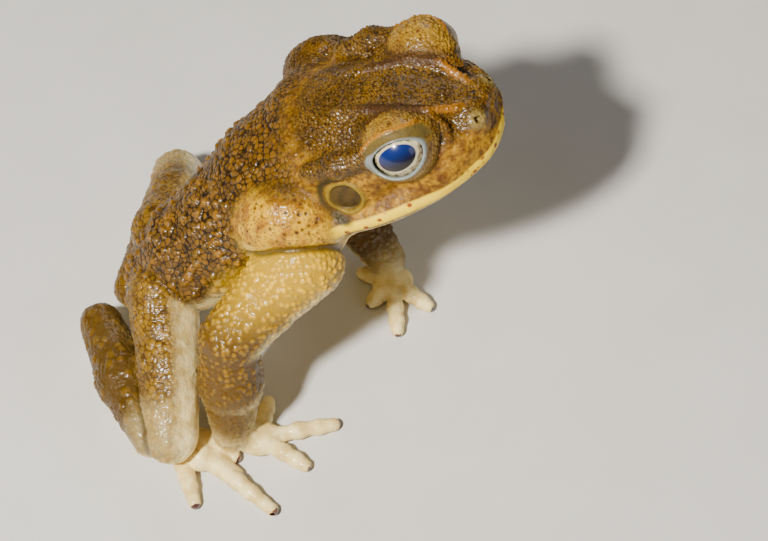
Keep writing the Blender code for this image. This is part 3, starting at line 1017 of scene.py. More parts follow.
class Relief:
    """Warts, grains, pores and folds on the skin, and the masks that its colours follow."""

    streak_height: float = 0.12
    pore_depth: float = 0.2
    lip_height: float = 0.15
    lid_fold_height: float = 0.25
    crease_depth: float = 0.7
    armpits: tuple[Triple, ...] = ((-7.0, -17.5, 31.0), (4.0, 20.0, 37.0))
    chest_way: Triple = (0.8, 0.0, -0.6)
    swelling_way: Triple = (0.1, 0.75, -0.65)

    def __init__(self, body: Body, points: Points, normals: Points) -> None:
        """Measure every vertex once.

        Args:
            body: The toad's forms.
            points: Rows in the toad's frame.
            normals: The surface's normals there.
        """
        self.body, self.points, self.normals = body, points, normals
        zones = body.zones(points)
        closeness = {zone: np.exp(-np.clip(away, -1.0, 9.0) / 0.7) for zone, away in zones.items()}
        total = sum(closeness.values())
        self.share = {zone: near / total for zone, near in closeness.items()}
        self.crease = self._creases(zones)
        self.local, self.right = body.head.place.left(points)
        self.large, self.middle, self.small = (
            Pebbles(cell, seed).nearest(points) for cell, seed in ((2.5, 11), (1.3, 12), (0.66, 13))
        )
        self.ear_across, self.near_ear = body.head.ear_parts(self.local)
        lids = zip(*(lids.parts(self.local) for lids in LIDS.values()))
        halves = [np.where(self.right, a, b) for a, b in lids]
        self.lid_out, self.lid_edge, self.lid_high, self.lid_front, self.lid_along = halves
        _, self.rise = body.head.lips.parts(self.local)
        self._measure()

    def _creases(self, zones: dict[Zone, Points]) -> Points:
        """Find the folds where parts of the body press together, to sink them and to darken their colour
        with painted shade.

        Args:
            zones: Distances to each kind of skin.

        Returns:
            1 in the bottoms of the folds, 0 elsewhere.
        """
        total = np.zeros(len(self.points))
        for (one, other), depth in FOLDS.items():
            a, b = zones[one], zones[other]
            shared = np.exp(-(((a - b) / 0.8) ** 2)) * ramp(np.minimum(a, b), 2.2, 1.0)
            total = np.maximum(total, depth * shared)
        return total

    def _measure(self) -> None:
        """Work out where each kind of grain belongs."""
        share, local = self.share, self.local
        at_ear = ramp(self.ear_across, 4.4, 3.6) * self.near_ear
        self.on_lid = ramp(self.lid_front, 0.0, 1.5) * ramp(self.lid_out, 8.4, 7.6)
        around_eye = ramp(self.lid_edge, 2.2, 1.7) * self.on_lid * ramp(self.lid_high, -0.5, 1.0)
        self.head_skin = share[Zone.HEAD]
        self.smooth_face = np.clip(at_ear + around_eye, 0, 1) * (self.head_skin > 0.3)
        self.lip = self.head_skin * ramp(self.rise, 3.3, 2.8) * ramp(self.rise, -0.3, 0.1)
        self.lip *= ramp(local[:, 0], -20.0, -14.0)
        self.crown = self.head_skin * ramp(local[:, 2], -4.0, 2.5)
        self.flank = share[Zone.TRUNK] * self.body.trunk.back(self.normals)
        self.neck = ramp(self.points[:, 2], 44.0, 56.0)
        self.arms = share[Zone.UPPER_ARM] + share[Zone.FOREARM]
        self.inner = ramp(self.normals[:, 0], 0.1, 0.9) * share[Zone.THIGH]

    def height(self) -> Points:
        """Raise the warts, grains, ridges and folds.

        Returns:
            How far each vertex rises, in millimetres.
        """
        share = self.share
        first, second, own = self.large
        wart = np.clip(1.0 - (first / (0.36 + 0.28 * own)) ** 2, 0, 1) ** 1.15
        self.wart = wart * np.clip((second - first) / 0.22, 0, 1) * (own > 0.2)
        self.pebble = cobbles(self.middle, 0.42) * (1 - self.arms) + beads(self.middle, 0.58) * self.arms
        self.grain = cobbles(self.small, 0.4)
        lid_rim = self.head_skin * self.on_lid * ramp(self.lid_edge, 1.5, 0.8)
        calm = 1.0 - np.maximum(self.smooth_face, lid_rim)
        bead = beads(self.small, 0.48) * calm
        where = {
            "low_back": self.flank * (1 - self.neck),
            "high_back": self.flank * self.neck,
            "flank": self.flank,
            "upper_arm": share[Zone.UPPER_ARM],
            "forearm": share[Zone.FOREARM],
            "crown": self.crown,
            "face": self.head_skin * calm * (1 - 0.7 * self.lip),
            "gland": share[Zone.GLAND],
            "leg": (share[Zone.THIGH] + share[Zone.SHANK]) * (1 - 0.8 * self.inner),
            "end": share[Zone.HAND] + share[Zone.FOOT],
        }
        rise = np.zeros(len(self.points))
        for skin, high in GRAINS.items():
            grains = high.wart * self.wart + high.pebble * self.pebble + high.grain * self.grain
            rise += where[skin] * (grains + high.bead * bead)
        self._gland_pores()
        self._head_lines()
        streak = waves(self.points * np.array([1.0, 1.0, 0.35]), 3.2, 21)
        rise += share[Zone.GLAND] * self.streak_height * streak - self.pore_depth * self.pore
        rise += self.lip_height * self.lip + self.lid_fold_height * self.lid_fold
        under = ramp(self.normals[:, 2], -0.2, -0.7)
        rise *= (1.0 - 0.8 * under) * (1.0 - 0.7 * self.crease)
        return rise - self.crease_depth * self.crease

    def _gland_pores(self) -> None:
        """Place the dark pores of the glands: large ones at random and small ones between them."""
        away, _, own = self.middle
        large = ramp(away, 0.38, 0.22) * (own > 0.1) * (0.5 + 0.5 * own)
        self.pore = self.share[Zone.GLAND] * np.maximum(large, 0.7 * ramp(self.small[0], 0.4, 0.22))

    def _head_lines(self) -> None:
        """Place the fold above the lid, the dark crest with painted shade in the groove between it and the
        dome of the eye, the dome itself and the orange ridge.
        """
        ahead, aside = self.local[:, 0], self.local[:, 1]
        crest, rope = self.body.head.crest, self.body.head.rope
        self.lid_fold = self.head_skin * bump(self.lid_edge, LIDS["R"].fold_at, 0.5) * self.on_lid
        self.lid_fold *= ramp(self.lid_high, 0.3, 1.5)
        front = ramp(ahead, 4.0, 8.0)
        dark = self._near_line(crest, 1.5) * ramp(ahead, -13.0, -6.0)
        # the groove between the crest and the dome of the eye is darkened with painted shade
        valley = bump(self.lid_out, 7.7, 1.3) * ramp(aside, 10.5, 8.5) * ramp(ahead, 7.0, 4.0)
        self.crest = self.head_skin * np.maximum(dark * (1.0 - front), 0.85 * valley)
        self.dome = self.head_skin * ramp(self.lid_out, 7.9, 7.2) * ramp(aside, 7.0, 8.5)
        ridge = np.maximum(self._near_line(crest, 1.2) * front, 0.3 * self._near_line(rope, 1.2))
        self.orange = np.maximum(self.lid_fold, self.head_skin * ridge)

    def masks(self) -> dict[str, Points]:
        """Work out the masks that the skin's material reads.

        Returns:
            Rows of three masks for each attribute of MASKS.
        """
        share = self.share
        reach = 0.25 - 0.1 * ramp(self.lid_high, 0.0, 2.5) + 0.8 * ramp(self.lid_along, -3.5, -6.0)
        margin = self.head_skin * ramp(self.lid_edge - reach, 0.2, -0.2) * self.on_lid
        ear = self.head_skin * self.near_ear
        radius = self.body.head.ear_radius
        made = {
            "head": self.head_skin,
            "gland": share[Zone.GLAND],
            "arm": self.arms,
            "forearm": self.arms * ramp(self.points[:, 2], 30.0, 14.0),
            "leg": share[Zone.THIGH] + share[Zone.SHANK] + share[Zone.FOOT],
            "pale": self._pale(),
            "wart": self.wart,
            "pebble": self.pebble,
            "grain": self.grain,
            "chance": self.large[2],
            "pebble_chance": self.middle[2],
            "pore": self.pore,
            "lip": self.lip,
            "margin": margin * np.where(self.right, 1.0, ramp(self.lid_high, 2.0, 0.0)),
            "crest": self.crest,
            "drum": ear * ramp(self.ear_across, radius, radius - 0.5),
            "ring": ear * bump(self.ear_across, radius + 0.15, 0.75),
            "fold": self.orange,
            "crown": self.crown,
            "neck": self.neck,
            "dome": self.dome,
            "gold": self._golden(),
            # where painted shade darkens the folds between parts
            "crease": self.crease,
            "shank": share[Zone.SHANK],
            "behind": ear * bump(self.ear_across, 5.3, 1.9) * ramp(self.local[:, 0], -10.0, -13.5),
            "smooth": self.smooth_face * self.on_lid * self.right,
            "gland_height": self._gland_height(),
            "nostril": ramp(nearest_of(self.local, [self.body.head.nostril]), 2.4, 1.3),
            "lip_spots": self.lip * (self.middle[2] > 0.8) * ramp(self.middle[0], 0.55, 0.3),
        }
        none = np.zeros(len(self.points))
        return {
            attribute: np.stack([made.get(name, none) for name in (*names, "")[:3]], 1)
            for attribute, names in MASKS.items()
        }

    def _pale(self) -> Points:
        """Find the pale hands, toes, knees and underside.

        Returns:
            1 where the skin is pale, 0 elsewhere.
        """
        heel = nearest_of(self.points, [leg.heel for leg in LEGS.values()])
        knee = nearest_of(self.points, [leg.knee for leg in LEGS.values()])
        ends = self.share[Zone.HAND] + self.share[Zone.FOOT] * ramp(heel, 6.0, 11.0)
        below = ramp(self.normals[:, 2], 0.1, -0.5) * (1 - self.head_skin * ramp(self.rise, -1.0, 0.0))
        front = ramp(self.normals @ np.array(self.chest_way), -0.1, 0.5) * self.share[Zone.TRUNK]
        return np.clip(ends + (below + front + self.inner + 0.3 * ramp(knee, 12.0, 6.0)) * 0.9, 0, 1)

    def _golden(self) -> Points:
        """1 on the golden tops of the arms and less in the armpits, 0 elsewhere."""
        arm = ramp(self.points[:, 2], 31.0, 45.0) * self.share[Zone.UPPER_ARM]
        return np.maximum(ramp(nearest_of(self.points, self.armpits), 11.0, 4.0) * 0.65, arm)

    def _gland_height(self) -> Points:
        """1 low on the near gland, 0 on its sides, -1 on its top and on all of the far one."""
        low = self.body.gland.local(self.points) @ np.array(self.swelling_way)
        return np.where(self.right, ramp(low, -1.0, 5.5) - ramp(low, -6.5, -11.5), -1.0)

    def _near_line(self, places: Sequence[Triple], reach: float) -> Points:
        """Find a line of the head's frame.

        Args:
            places: Points on the line.
            reach: How far from it the skin still belongs to it.

        Returns:
            1 on the line, falling to 0 beside it.
        """
        away = np.full(len(self.points), FAR)
        for rod in line(places, 0.0):
            away = np.minimum(away, rod.distance(self.local))
        return ramp(away, reach, reach / 2)


@dataclass
class Eye:
    """One eyeball with its clear front, wide pupil and pale iris."""

    side: str
    place: HeadPlace
    offset: Points
    bulge: float = 0.35
    bulge_width: float = 0.75
    inset: float = 0.02
    segments: int = 96
    rings: int = 64

    def matrix(self) -> Matrix:
        """Place the eye, whose own frame has z out and x forward.

        Returns:
            From the eye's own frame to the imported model's, in millimetres.
        """
        flip = -1.0 if self.side == "R" else 1.0
        mirror = Matrix.Diagonal((1.0, flip, 1.0, 1.0))
        lids = LIDS[self.side]
        turn = Matrix([Vector(row) for row in lids.axes()]).transposed().to_4x4()
        head = self.place.matrix() @ mirror
        centre = Matrix.Translation(Vector(lids.centre))
        return Matrix.Translation(Vector(self.offset)) @ head @ centre @ turn @ mirror

    def make(self) -> bpy.types.Object:
        """Build the eyeball as rings round its axis.

        Returns:
            The eyeball, whose attribute "gaze" holds its own coordinates.
        """
        points, faces = [], []
        for ring in range(self.rings + 1):
            angle = math.pi * ring / self.rings
            swell = self.bulge * math.exp(-((angle / self.bulge_width) ** 4))
            radius = LIDS[self.side].globe - self.inset + swell
            for step in range(self.segments):
                turn = 2 * math.pi * step / self.segments
                x, y = math.cos(turn) * math.sin(angle), math.sin(turn) * math.sin(angle)
                points.append((x * radius, y * radius, math.cos(angle) * radius - swell * self.bulge))
        for ring in range(self.rings):
            for step in range(self.segments):
                after = (step + 1) % self.segments
                a, b = ring * self.segments, (ring + 1) * self.segments
                faces.append((a + step, b + step, b + after, a + after))
        mesh = bpy.data.meshes.new(f"eyeball_{self.side}")
        mesh.from_pydata(points, [], faces)
        weld(mesh)
        own = coordinates(mesh)
        write_rows(mesh, "gaze", own)
        place = np.array(self.matrix())
        set_coordinates(mesh, (own @ place[:3, :3].T + place[:3, 3]) * MM)
        weld(mesh)
        mesh.shade_smooth()
        return placed(f"eyeball_{self.side}", mesh)


def weld(mesh: bpy.types.Mesh) -> None:
    """Join vertices that fall together and turn the faces outward.

    Args:
        mesh: The mesh to change.
    """
    bm = bmesh.new()
    bm.from_mesh(mesh)
    bmesh.ops.remove_doubles(bm, verts=bm.verts, dist=1e-7)
    bmesh.ops.recalc_face_normals(bm, faces=bm.faces)
    bm.to_mesh(mesh)
    bm.free()


@dataclass
class Tips:
    """The dark horny tips of the toes or fingers of one limb."""

    name: str
    digits: list[list[Joint]]
    offset: Points
    limits: tuple[Vector, Vector]
    swell: float = 0.12
    share: float = 0.8
    forward: float = 0.3
    stretch: float = 1.05

    def make(self) -> bpy.types.Object:
        """Build a small cap on each tip.

        Returns:
            The caps as one piece.
        """
        bm = bmesh.new()
        for joints in self.digits:
            (before, _), (end, radius) = joints[-2:]
            way = (Vector(end) - Vector(before)).normalized()
            centre = Vector(end) + way * self.forward
            size = radius * self.share + self.swell
            turn = way.to_track_quat("Z", "Y").to_matrix().to_4x4()
            shape = Matrix.Diagonal((size, size, size * self.stretch, 1.0))
            place = Matrix.Translation(centre) @ turn @ shape
            bmesh.ops.create_icosphere(bm, subdivisions=4, radius=1.0, matrix=place)
        mesh = bpy.data.meshes.new(self.name)
        bm.to_mesh(mesh)
        bm.free()
        stand(mesh, coordinates(mesh), self.offset, self.limits)
        return placed(self.name, mesh)


# Materials

Colour = tuple[float, float, float]
Socket = bpy.types.NodeSocket
Inputs = dict[int | str, object]


class Nodes:
    """Short ways to lay out shader nodes in one tree."""

    def __init__(self, tree: bpy.types.NodeTree, mottle: bpy.types.NodeTree | None = None) -> None:
        """Keep the tree and the group that breaks colours up."""
        self.tree, self.mottle = tree, mottle

    def add(self, kind: str, inputs: Inputs | None = None, **settings: object) -> bpy.types.Node:
        """Add a node.

        Args:
            kind: Its type's name without "ShaderNode".
            inputs: What feeds its inputs, by their places or names.
            settings: Its properties.

        Returns:
            The node.
        """
        node = self.tree.nodes.new("ShaderNode" + kind)
        for name, value in settings.items():
            setattr(node, name, value)
        self.feed(node, inputs or {})
        return node

    def feed(self, node: bpy.types.Node, inputs: Inputs) -> None:
        """Link outputs of other nodes to a node's inputs, or set the inputs' values.

        Args:
            node: The node.
            inputs: Outputs, numbers or colours, by the inputs' places or names.
        """
        for key, value in inputs.items():
            socket = node.inputs[key]
            if isinstance(value, Socket):
                self.tree.links.new(value, socket)
            elif socket.type == "RGBA":
                socket.default_value = (*value, 1.0)
            else:
                socket.default_value = value

    def math(self, operation: str, a: object, b: object = 0.0) -> Socket:
        """A sum, product or the like of two values."""
        return self.add("Math", {0: a, 1: b}, operation=operation).outputs[0]

    def times(self, a: object, b: object) -> Socket:
        """The product of two values."""
        return self.math("MULTIPLY", a, b)

    def mix(self, share: object, a: object, b: object) -> Socket:
        """The first colour, turning into the second as the share rises to 1."""
        return self.add("Mix", {"Factor": share, 6: a, 7: b}, data_type="RGBA").outputs[2]

    def layers(self, colour: object, *over: tuple[object, object]) -> Socket:
        """Lay colours over a colour.

        Args:
            colour: The lowest colour.
            over: Masks with their colours, in order.

        Returns:
            The uppermost colour.
        """
        for share, top in over:
            colour = self.mix(share, colour, top)
        return colour

    def steps(self, value: object, low: float, high: float, start: float = 0.0, end: float = 1.0) -> Socket:
        """A value taken smoothly from the range between low and high to that between start and end."""
        numbers = dict(enumerate((value, low, high, start, end)))
        return self.add("MapRange", numbers, interpolation_type="SMOOTHSTEP").outputs[0]

    def noise(self, scale: object, detail: float = 3.0) -> Socket:
        """Clouds over the piece's own coordinates, of which scale says how many there are to a metre."""
        place = self.add("TexCoord").outputs["Object"]
        return self.add("TexNoise", {"Vector": place, "Scale": scale, "Detail": detail}).outputs["Fac"]

    def masks(self, name: str) -> tuple[Socket, ...]:
        """The three masks that an attribute of the mesh holds."""
        source = self.add("Attribute", attribute_name=name).outputs["Vector"]
        return tuple(self.add("SeparateXYZ", {0: source}).outputs)

    def mottled(self, light: object, dark: object, size: float, amount: float) -> Socket:
        """A colour broken up, more or less strongly, with clouds of a second one."""
        inputs = {"Light": light, "Dark": dark, "Size": size, "Amount": amount}
        return self.add("Group", inputs, node_tree=self.mottle).outputs["Colour"]


def mottle_group() -> bpy.types.NodeTree:
    """Make the group that breaks a colour up with a second one in clouds.

    Returns:
        The group.
    """
    tree = bpy.data.node_groups.new("mottle", "ShaderNodeTree")
    kinds = {"Light": "Color", "Dark": "Color", "Size": "Float", "Amount": "Float"}
    for name, kind in kinds.items():
        tree.interface.new_socket(name, in_out="INPUT", socket_type="NodeSocket" + kind)
    tree.interface.new_socket("Colour", in_out="OUTPUT", socket_type="NodeSocketColor")
    source, out = tree.nodes.new("NodeGroupInput"), tree.nodes.new("NodeGroupOutput")
    light, dark, size, amount = (source.outputs[name] for name in kinds)
    nodes = Nodes(tree)
    clouds = nodes.steps(nodes.noise(size, 4.0), 0.38, 0.66)
    nodes.feed(out, {"Colour": nodes.mix(nodes.times(clouds, amount), light, dark)})
    return tree


def painted(name: str, mottle: bpy.types.NodeTree) -> tuple[bpy.types.Material, Nodes, bpy.types.Node]:
    """Start a material.

    Args:
        name: The material's name.
        mottle: The group that breaks colours up.

    Returns:
        The material, its nodes and its shader.
    """
    made = bpy.data.materials.new(name)
    made.use_nodes = True
    return made, Nodes(made.node_tree, mottle), made.node_tree.nodes["Principled BSDF"]


@dataclass(frozen=True)
class SkinFinish:
    """Wet toad skin: brown back with orange-brown warts, golden cheeks, pale underside."""

    back: Colour = (0.125, 0.056, 0.0015)
    # The back's dark colour, also used as painted shade in the folds between parts and between the back's
    # grains.
    back_dark: Colour = (0.009, 0.0035, 0.0003)
    wart: Colour = (0.25, 0.108, 0.002)
    wart_tan: Colour = (0.14, 0.07, 0.002)
    crown: Colour = (0.15, 0.072, 0.002)
    crown_dark: Colour = (0.016, 0.006, 0.0005)
    dome: Colour = (0.32, 0.18, 0.012)
    cheek: Colour = (0.38, 0.19, 0.001)
    cheek_dark: Colour = (0.075, 0.02, 0.0005)
    gland: Colour = (0.62, 0.34, 0.001)
    gland_dark: Colour = (0.25, 0.09, 0.001)
    gland_pale: Colour = (0.82, 0.56, 0.04)
    arm: Colour = (0.27, 0.14, 0.002)
    arm_dark: Colour = (0.085, 0.038, 0.001)
    arm_gold: Colour = (0.78, 0.44, 0.001)
    forearm: Colour = (0.095, 0.048, 0.002)
    leg: Colour = (0.22, 0.115, 0.003)
    leg_dark: Colour = (0.06, 0.026, 0.001)
    shank: Colour = (0.07, 0.034, 0.0015)
    pale: Colour = (0.96, 0.78, 0.36)
    gold: Colour = (0.45, 0.26, 0.001)
    lip: Colour = (1.0, 0.68, 0.001)
    lip_spot: Colour = (0.25, 0.04, 0.002)
    margin: Colour = (0.19, 0.225, 0.22)
    # the crest's own dark red-brown, also painted shade in the groove beside it
    crest: Colour = (0.04, 0.013, 0.0008)
    ridge: Colour = (0.34, 0.125, 0.001)
    drum: Colour = (0.06, 0.034, 0.003)
    drum_ring: Colour = (0.2, 0.135, 0.006)
    pore: Colour = (0.04, 0.012, 0.001)
    olive: Colour = (0.035, 0.024, 0.003)
    nostril: Colour = (0.19, 0.13, 0.03)
    lid: Colour = (0.09, 0.07, 0.022)
    roughness: float = 0.44
    coat: float = 0.28
    coat_roughness: float = 0.15
    specular: float = 0.3
    subsurface: float = 0.06
    subsurface_scale: float = 0.0012

    def material(self, mottle: bpy.types.NodeTree) -> bpy.types.Material:
        """Make the skin's material.

        Args:
            mottle: The group that breaks colours up.

        Returns:
            The material, which reads the masks on the skin's mesh.
        """
        made, nodes, shader = painted("wet_skin", mottle)
        SkinPaint(self, nodes).lay(shader)
        return made


class SkinPaint:
    """The layers of colour and wetness on the skin, with the masks on its mesh."""

    def __init__(self, finish: SkinFinish, nodes: Nodes) -> None:
        """Read the masks and prepare what several layers share.

        Args:
            finish: The skin's colours.
            nodes: The material's nodes.
        """
        self.finish, self.nodes, self.masks = finish, nodes, SimpleNamespace()
        for attribute, names in MASKS.items():
            vars(self.masks).update(zip(names, nodes.masks(attribute)))
        crown = nodes.mottled(finish.crown, finish.crown_dark, 200.0, 0.5)
        # darker in the valleys between the grains: partly the skin's own colour, partly painted shade
        self.creases = nodes.steps(self.masks.pebble, 0.15, 0.9)
        self.top = nodes.mix(nodes.steps(self.masks.grain, 0.15, 0.95), finish.crown_dark, crown)

    def back(self) -> Socket:
        """Colour the brown back, its warts and the golden armpits.

        Returns:
            The colour.
        """
        f, nodes, m = self.finish, self.nodes, self.masks
        # the back darker between its grains: partly its own colour, partly painted shade
        body = nodes.mix(self.creases, f.back_dark, nodes.mottled(f.back, f.back_dark, 260.0, 0.5))
        tops = nodes.mix(nodes.steps(m.chance, 0.55, 0.75), f.wart_tan, f.wart)
        calm = nodes.steps(m.neck, 0.0, 1.0, 0.85, 0.3)
        spots = nodes.times(nodes.steps(m.pebble_chance, 0.6, 0.8), nodes.steps(m.pebble, 0.3, 0.9))
        golden = nodes.mix(nodes.steps(m.wart, 0.1, 0.8, 0.0, 0.6), f.gold, f.gland_pale)
        return nodes.layers(
            body,
            (nodes.times(nodes.steps(m.wart, 0.0, 1.1), calm), tops),
            (nodes.times(spots, 0.4), f.wart),
            (m.gold, golden),
        )

    def head(self) -> Socket:
        """Colour the golden cheeks, the brown crown and the domes over the eyes.

        Returns:
            The colour.
        """
        f, nodes, m = self.finish, self.nodes, self.masks
        cheek = nodes.mottled(f.cheek, f.cheek_dark, 330.0, 0.75)
        dome = nodes.mottled(f.dome, f.crown, 300.0, 0.5)
        return nodes.layers(
            nodes.mottled(cheek, f.cheek_dark, 900.0, 0.8),
            # crown and dome darker between their grains, partly their own colour and partly painted shade
            (nodes.steps(m.crown, 0.25, 0.7), self.top),
            (m.dome, nodes.mix(nodes.steps(m.grain, 0.05, 0.8), f.cheek_dark, dome)),
        )

    def limbs(self, colour: Socket) -> Socket:
        """Colour the arms and legs.

        Args:
            colour: The colour of the rest.

        Returns:
            The colour with the limbs over it.
        """
        f, nodes, m = self.finish, self.nodes, self.masks
        # each limb darker between its grains, partly its own colour and partly painted shade
        arm = nodes.mix(self.creases, f.arm_dark, nodes.mottled(f.arm, f.arm_dark, 220.0, 0.4))
        bright = nodes.mix(self.creases, f.gold, nodes.mottled(f.arm_gold, f.gold, 240.0, 0.4))
        fore = nodes.mottled(f.forearm, f.arm_dark, 240.0, 0.4)
        thigh = nodes.mottled(f.leg, f.leg_dark, 260.0, 0.6)
        shank = nodes.mottled(f.shank, f.leg_dark, 240.0, 0.5)
        return nodes.layers(
            colour,
            (m.arm, nodes.mix(m.gold, arm, bright)),
            (m.forearm, nodes.mix(nodes.steps(m.grain, 0.1, 0.8), f.arm_dark, fore)),
            (m.leg, nodes.mix(nodes.steps(m.pebble, 0.1, 0.8), f.leg_dark, thigh)),
            (m.shank, nodes.mix(nodes.steps(m.wart, 0.0, 1.0, 0.0, 0.8), shank, f.wart_tan)),
        )

    def glands(self) -> Socket:
        """Colour the glands: pale below, golden at the sides, brown on top and with dark pores.

        Returns:
            The colour.
        """
        return self.nodes.layers(
            self.nodes.mottled(self.finish.gland, self.finish.gland_dark, 300.0, 0.9),
            (self.nodes.steps(self.masks.gland_height, 0.0, 1.0), self.finish.gland_pale),
            (self.nodes.steps(self.masks.gland_height, 0.0, -1.0), self.top),
            (self.masks.pore, self.finish.pore),
        )

    def wetness(self) -> Inputs:
        """Make the skin shine, less so low on the face, and lay fine wrinkles on it.

        Returns:
            What feeds the shader's inputs, apart from the colour.
        """
        f, nodes, m = self.finish, self.nodes, self.masks
        low_face = nodes.times(m.head, nodes.steps(m.crown, 0.5, 0.1))
        low_face = nodes.math("MAXIMUM", nodes.math("MAXIMUM", low_face, m.crest), m.behind)
        wet = nodes.steps(nodes.noise(420.0), 0.35, 0.7, f.roughness - 0.1, f.roughness + 0.12)
        wrinkles = {"Height": nodes.noise(2600.0, 4.0), "Strength": 0.35, "Distance": 0.0001}
        return {
            "Roughness": nodes.math("ADD", wet, nodes.times(low_face, 0.18)),
            "Normal": nodes.add("Bump", wrinkles).outputs["Normal"],
            "Coat Weight": nodes.steps(low_face, 0.0, 0.8, f.coat, 0.02),
            "Coat Roughness": f.coat_roughness,
            "Specular IOR Level": f.specular,
            "Subsurface Weight": f.subsurface,
            "Subsurface Scale": f.subsurface_scale,
        }

    def lay(self, shader: bpy.types.Node) -> None:
        """Lay all the colours over each other and feed the shader.

        Args:
            shader: The material's shader.
        """
        f, nodes, m = self.finish, self.nodes, self.masks
        colour = nodes.layers(
            self.limbs(nodes.mix(m.head, self.back(), self.head())),
            (m.gland, self.glands()),
            (m.pale, nodes.mottled(f.pale, f.gold, 340.0, 0.5)),
            (m.lip, nodes.mottled(f.lip, f.cheek, 420.0, 0.15)),
            (m.lip_spots, f.lip_spot),
            # the dark crest line and the painted shade in the groove by the dome
            (m.nostril, f.nostril),
            (nodes.times(m.crest, 0.9), f.crest),
            (nodes.times(m.smooth, 0.8), f.lid),
            (nodes.times(m.fold, 0.85), f.ridge),
            (nodes.steps(m.behind, 0.1, 1.0), f.olive),
            (m.margin, f.margin),
            (m.drum, nodes.mottled(f.drum, f.back_dark, 500.0, 0.5)),
            (m.ring, f.drum_ring),
            # painted shade in the folds where parts press together
            (nodes.steps(m.crease, 0.2, 1.0, 0.0, 0.8), f.back_dark),
        )
        nodes.feed(shader, {"Base Color": colour} | self.wetness())


@dataclass(frozen=True)
class EyeFinish:
    """A wet eye with a pale gold iris and a pupil whose dark blue is a painted reflection of the key light
    and whose darker top is a painted shadow of the lid.
    """

    # the pupil's blue is a painted reflection of the key light on a dark pupil
    pupil: Colour = (0.005, 0.017, 0.12)
    iris: Colour = (0.66, 0.58, 0.34)
    iris_dark: Colour = (0.12, 0.07, 0.03)
    # dark rim of the iris, partly its own colour and partly painted shade, also the painted shadow of the
    # lid on the pupil's top
    edge: Colour = (0.008, 0.006, 0.006)
    ring: Colour = (0.52, 0.46, 0.29)
    pupil_width: float = 3.9
    pupil_height: float = 2.65
    iris_radius: float = 5.1
    roughness: float = 0.25
    coat: float = 0.5
    coat_roughness: float = 0.02
    refraction: float = 1.3

    def material(self, mottle: bpy.types.NodeTree) -> bpy.types.Material:
        """Make the eye's material.

        Args:
            mottle: The group that breaks colours up.

        Returns:
            The material, which reads the eye's own coordinates.
        """
        made, nodes, shader = painted("wet_eye", mottle)
        x, y, _ = nodes.masks("gaze")

        def oval(width: float, height: float) -> Socket:
            """How far out a point lies, where 1 is an oval's edge."""
            shares = (nodes.math("DIVIDE", a, b) for a, b in ((x, width), (y, height)))
            squares = (nodes.math("POWER", share, 2.0) for share in shares)
            return nodes.math("SQRT", nodes.math("ADD", *squares))

        out, pupil = oval(self.iris_radius, self.iris_radius), oval(self.pupil_width, self.pupil_height)
        colour = nodes.layers(
            nodes.mottled(self.iris, self.iris_dark, 900.0, 0.9),
            # the iris's dark rim: partly its own colour, partly painted shade under the lid
            (nodes.steps(out, 0.9, 1.0), self.edge),
            (nodes.steps(pupil, 1.17, 1.09), self.ring),
            # the pupil as a painted reflection, darker at its top as a painted shadow of the upper lid
            (nodes.steps(pupil, 1.03, 0.97), nodes.mix(nodes.steps(y, 2.0, -2.0), self.edge, self.pupil)),
        )
        nodes.feed(shader, {
            "Base Color": colour, "Roughness": self.roughness, "Coat Weight": self.coat,
            "Coat Roughness": self.coat_roughness, "IOR": self.refraction,
        })
        return made


@dataclass(frozen=True)
class TipFinish:
    """Dark horn with a red-brown root."""

    horn: Colour = (0.05, 0.014, 0.01)
    root: Colour = (0.28, 0.1, 0.06)
    coat: float = 0.6

    def material(self, mottle: bpy.types.NodeTree) -> bpy.types.Material:
        """Make the toe tips' material.

        Args:
            mottle: The group that breaks colours up.

        Returns:
            The material.
        """
        made, nodes, shader = painted("horn", mottle)
        colour = nodes.mottled(self.horn, self.root, 700.0, 0.5)
        rough = nodes.steps(nodes.noise(900.0), 0.3, 0.7, 0.18, 0.4)
        nodes.feed(shader, {"Base Color": colour, "Roughness": rough, "Coat Weight": self.coat})
        return made


@dataclass(frozen=True)
class Lamp:
    """A square soft light, placed in metres."""

    name: str
    place: Triple
    size: float
    power: float
    colour: Colour = (1.0, 0.97, 0.93)


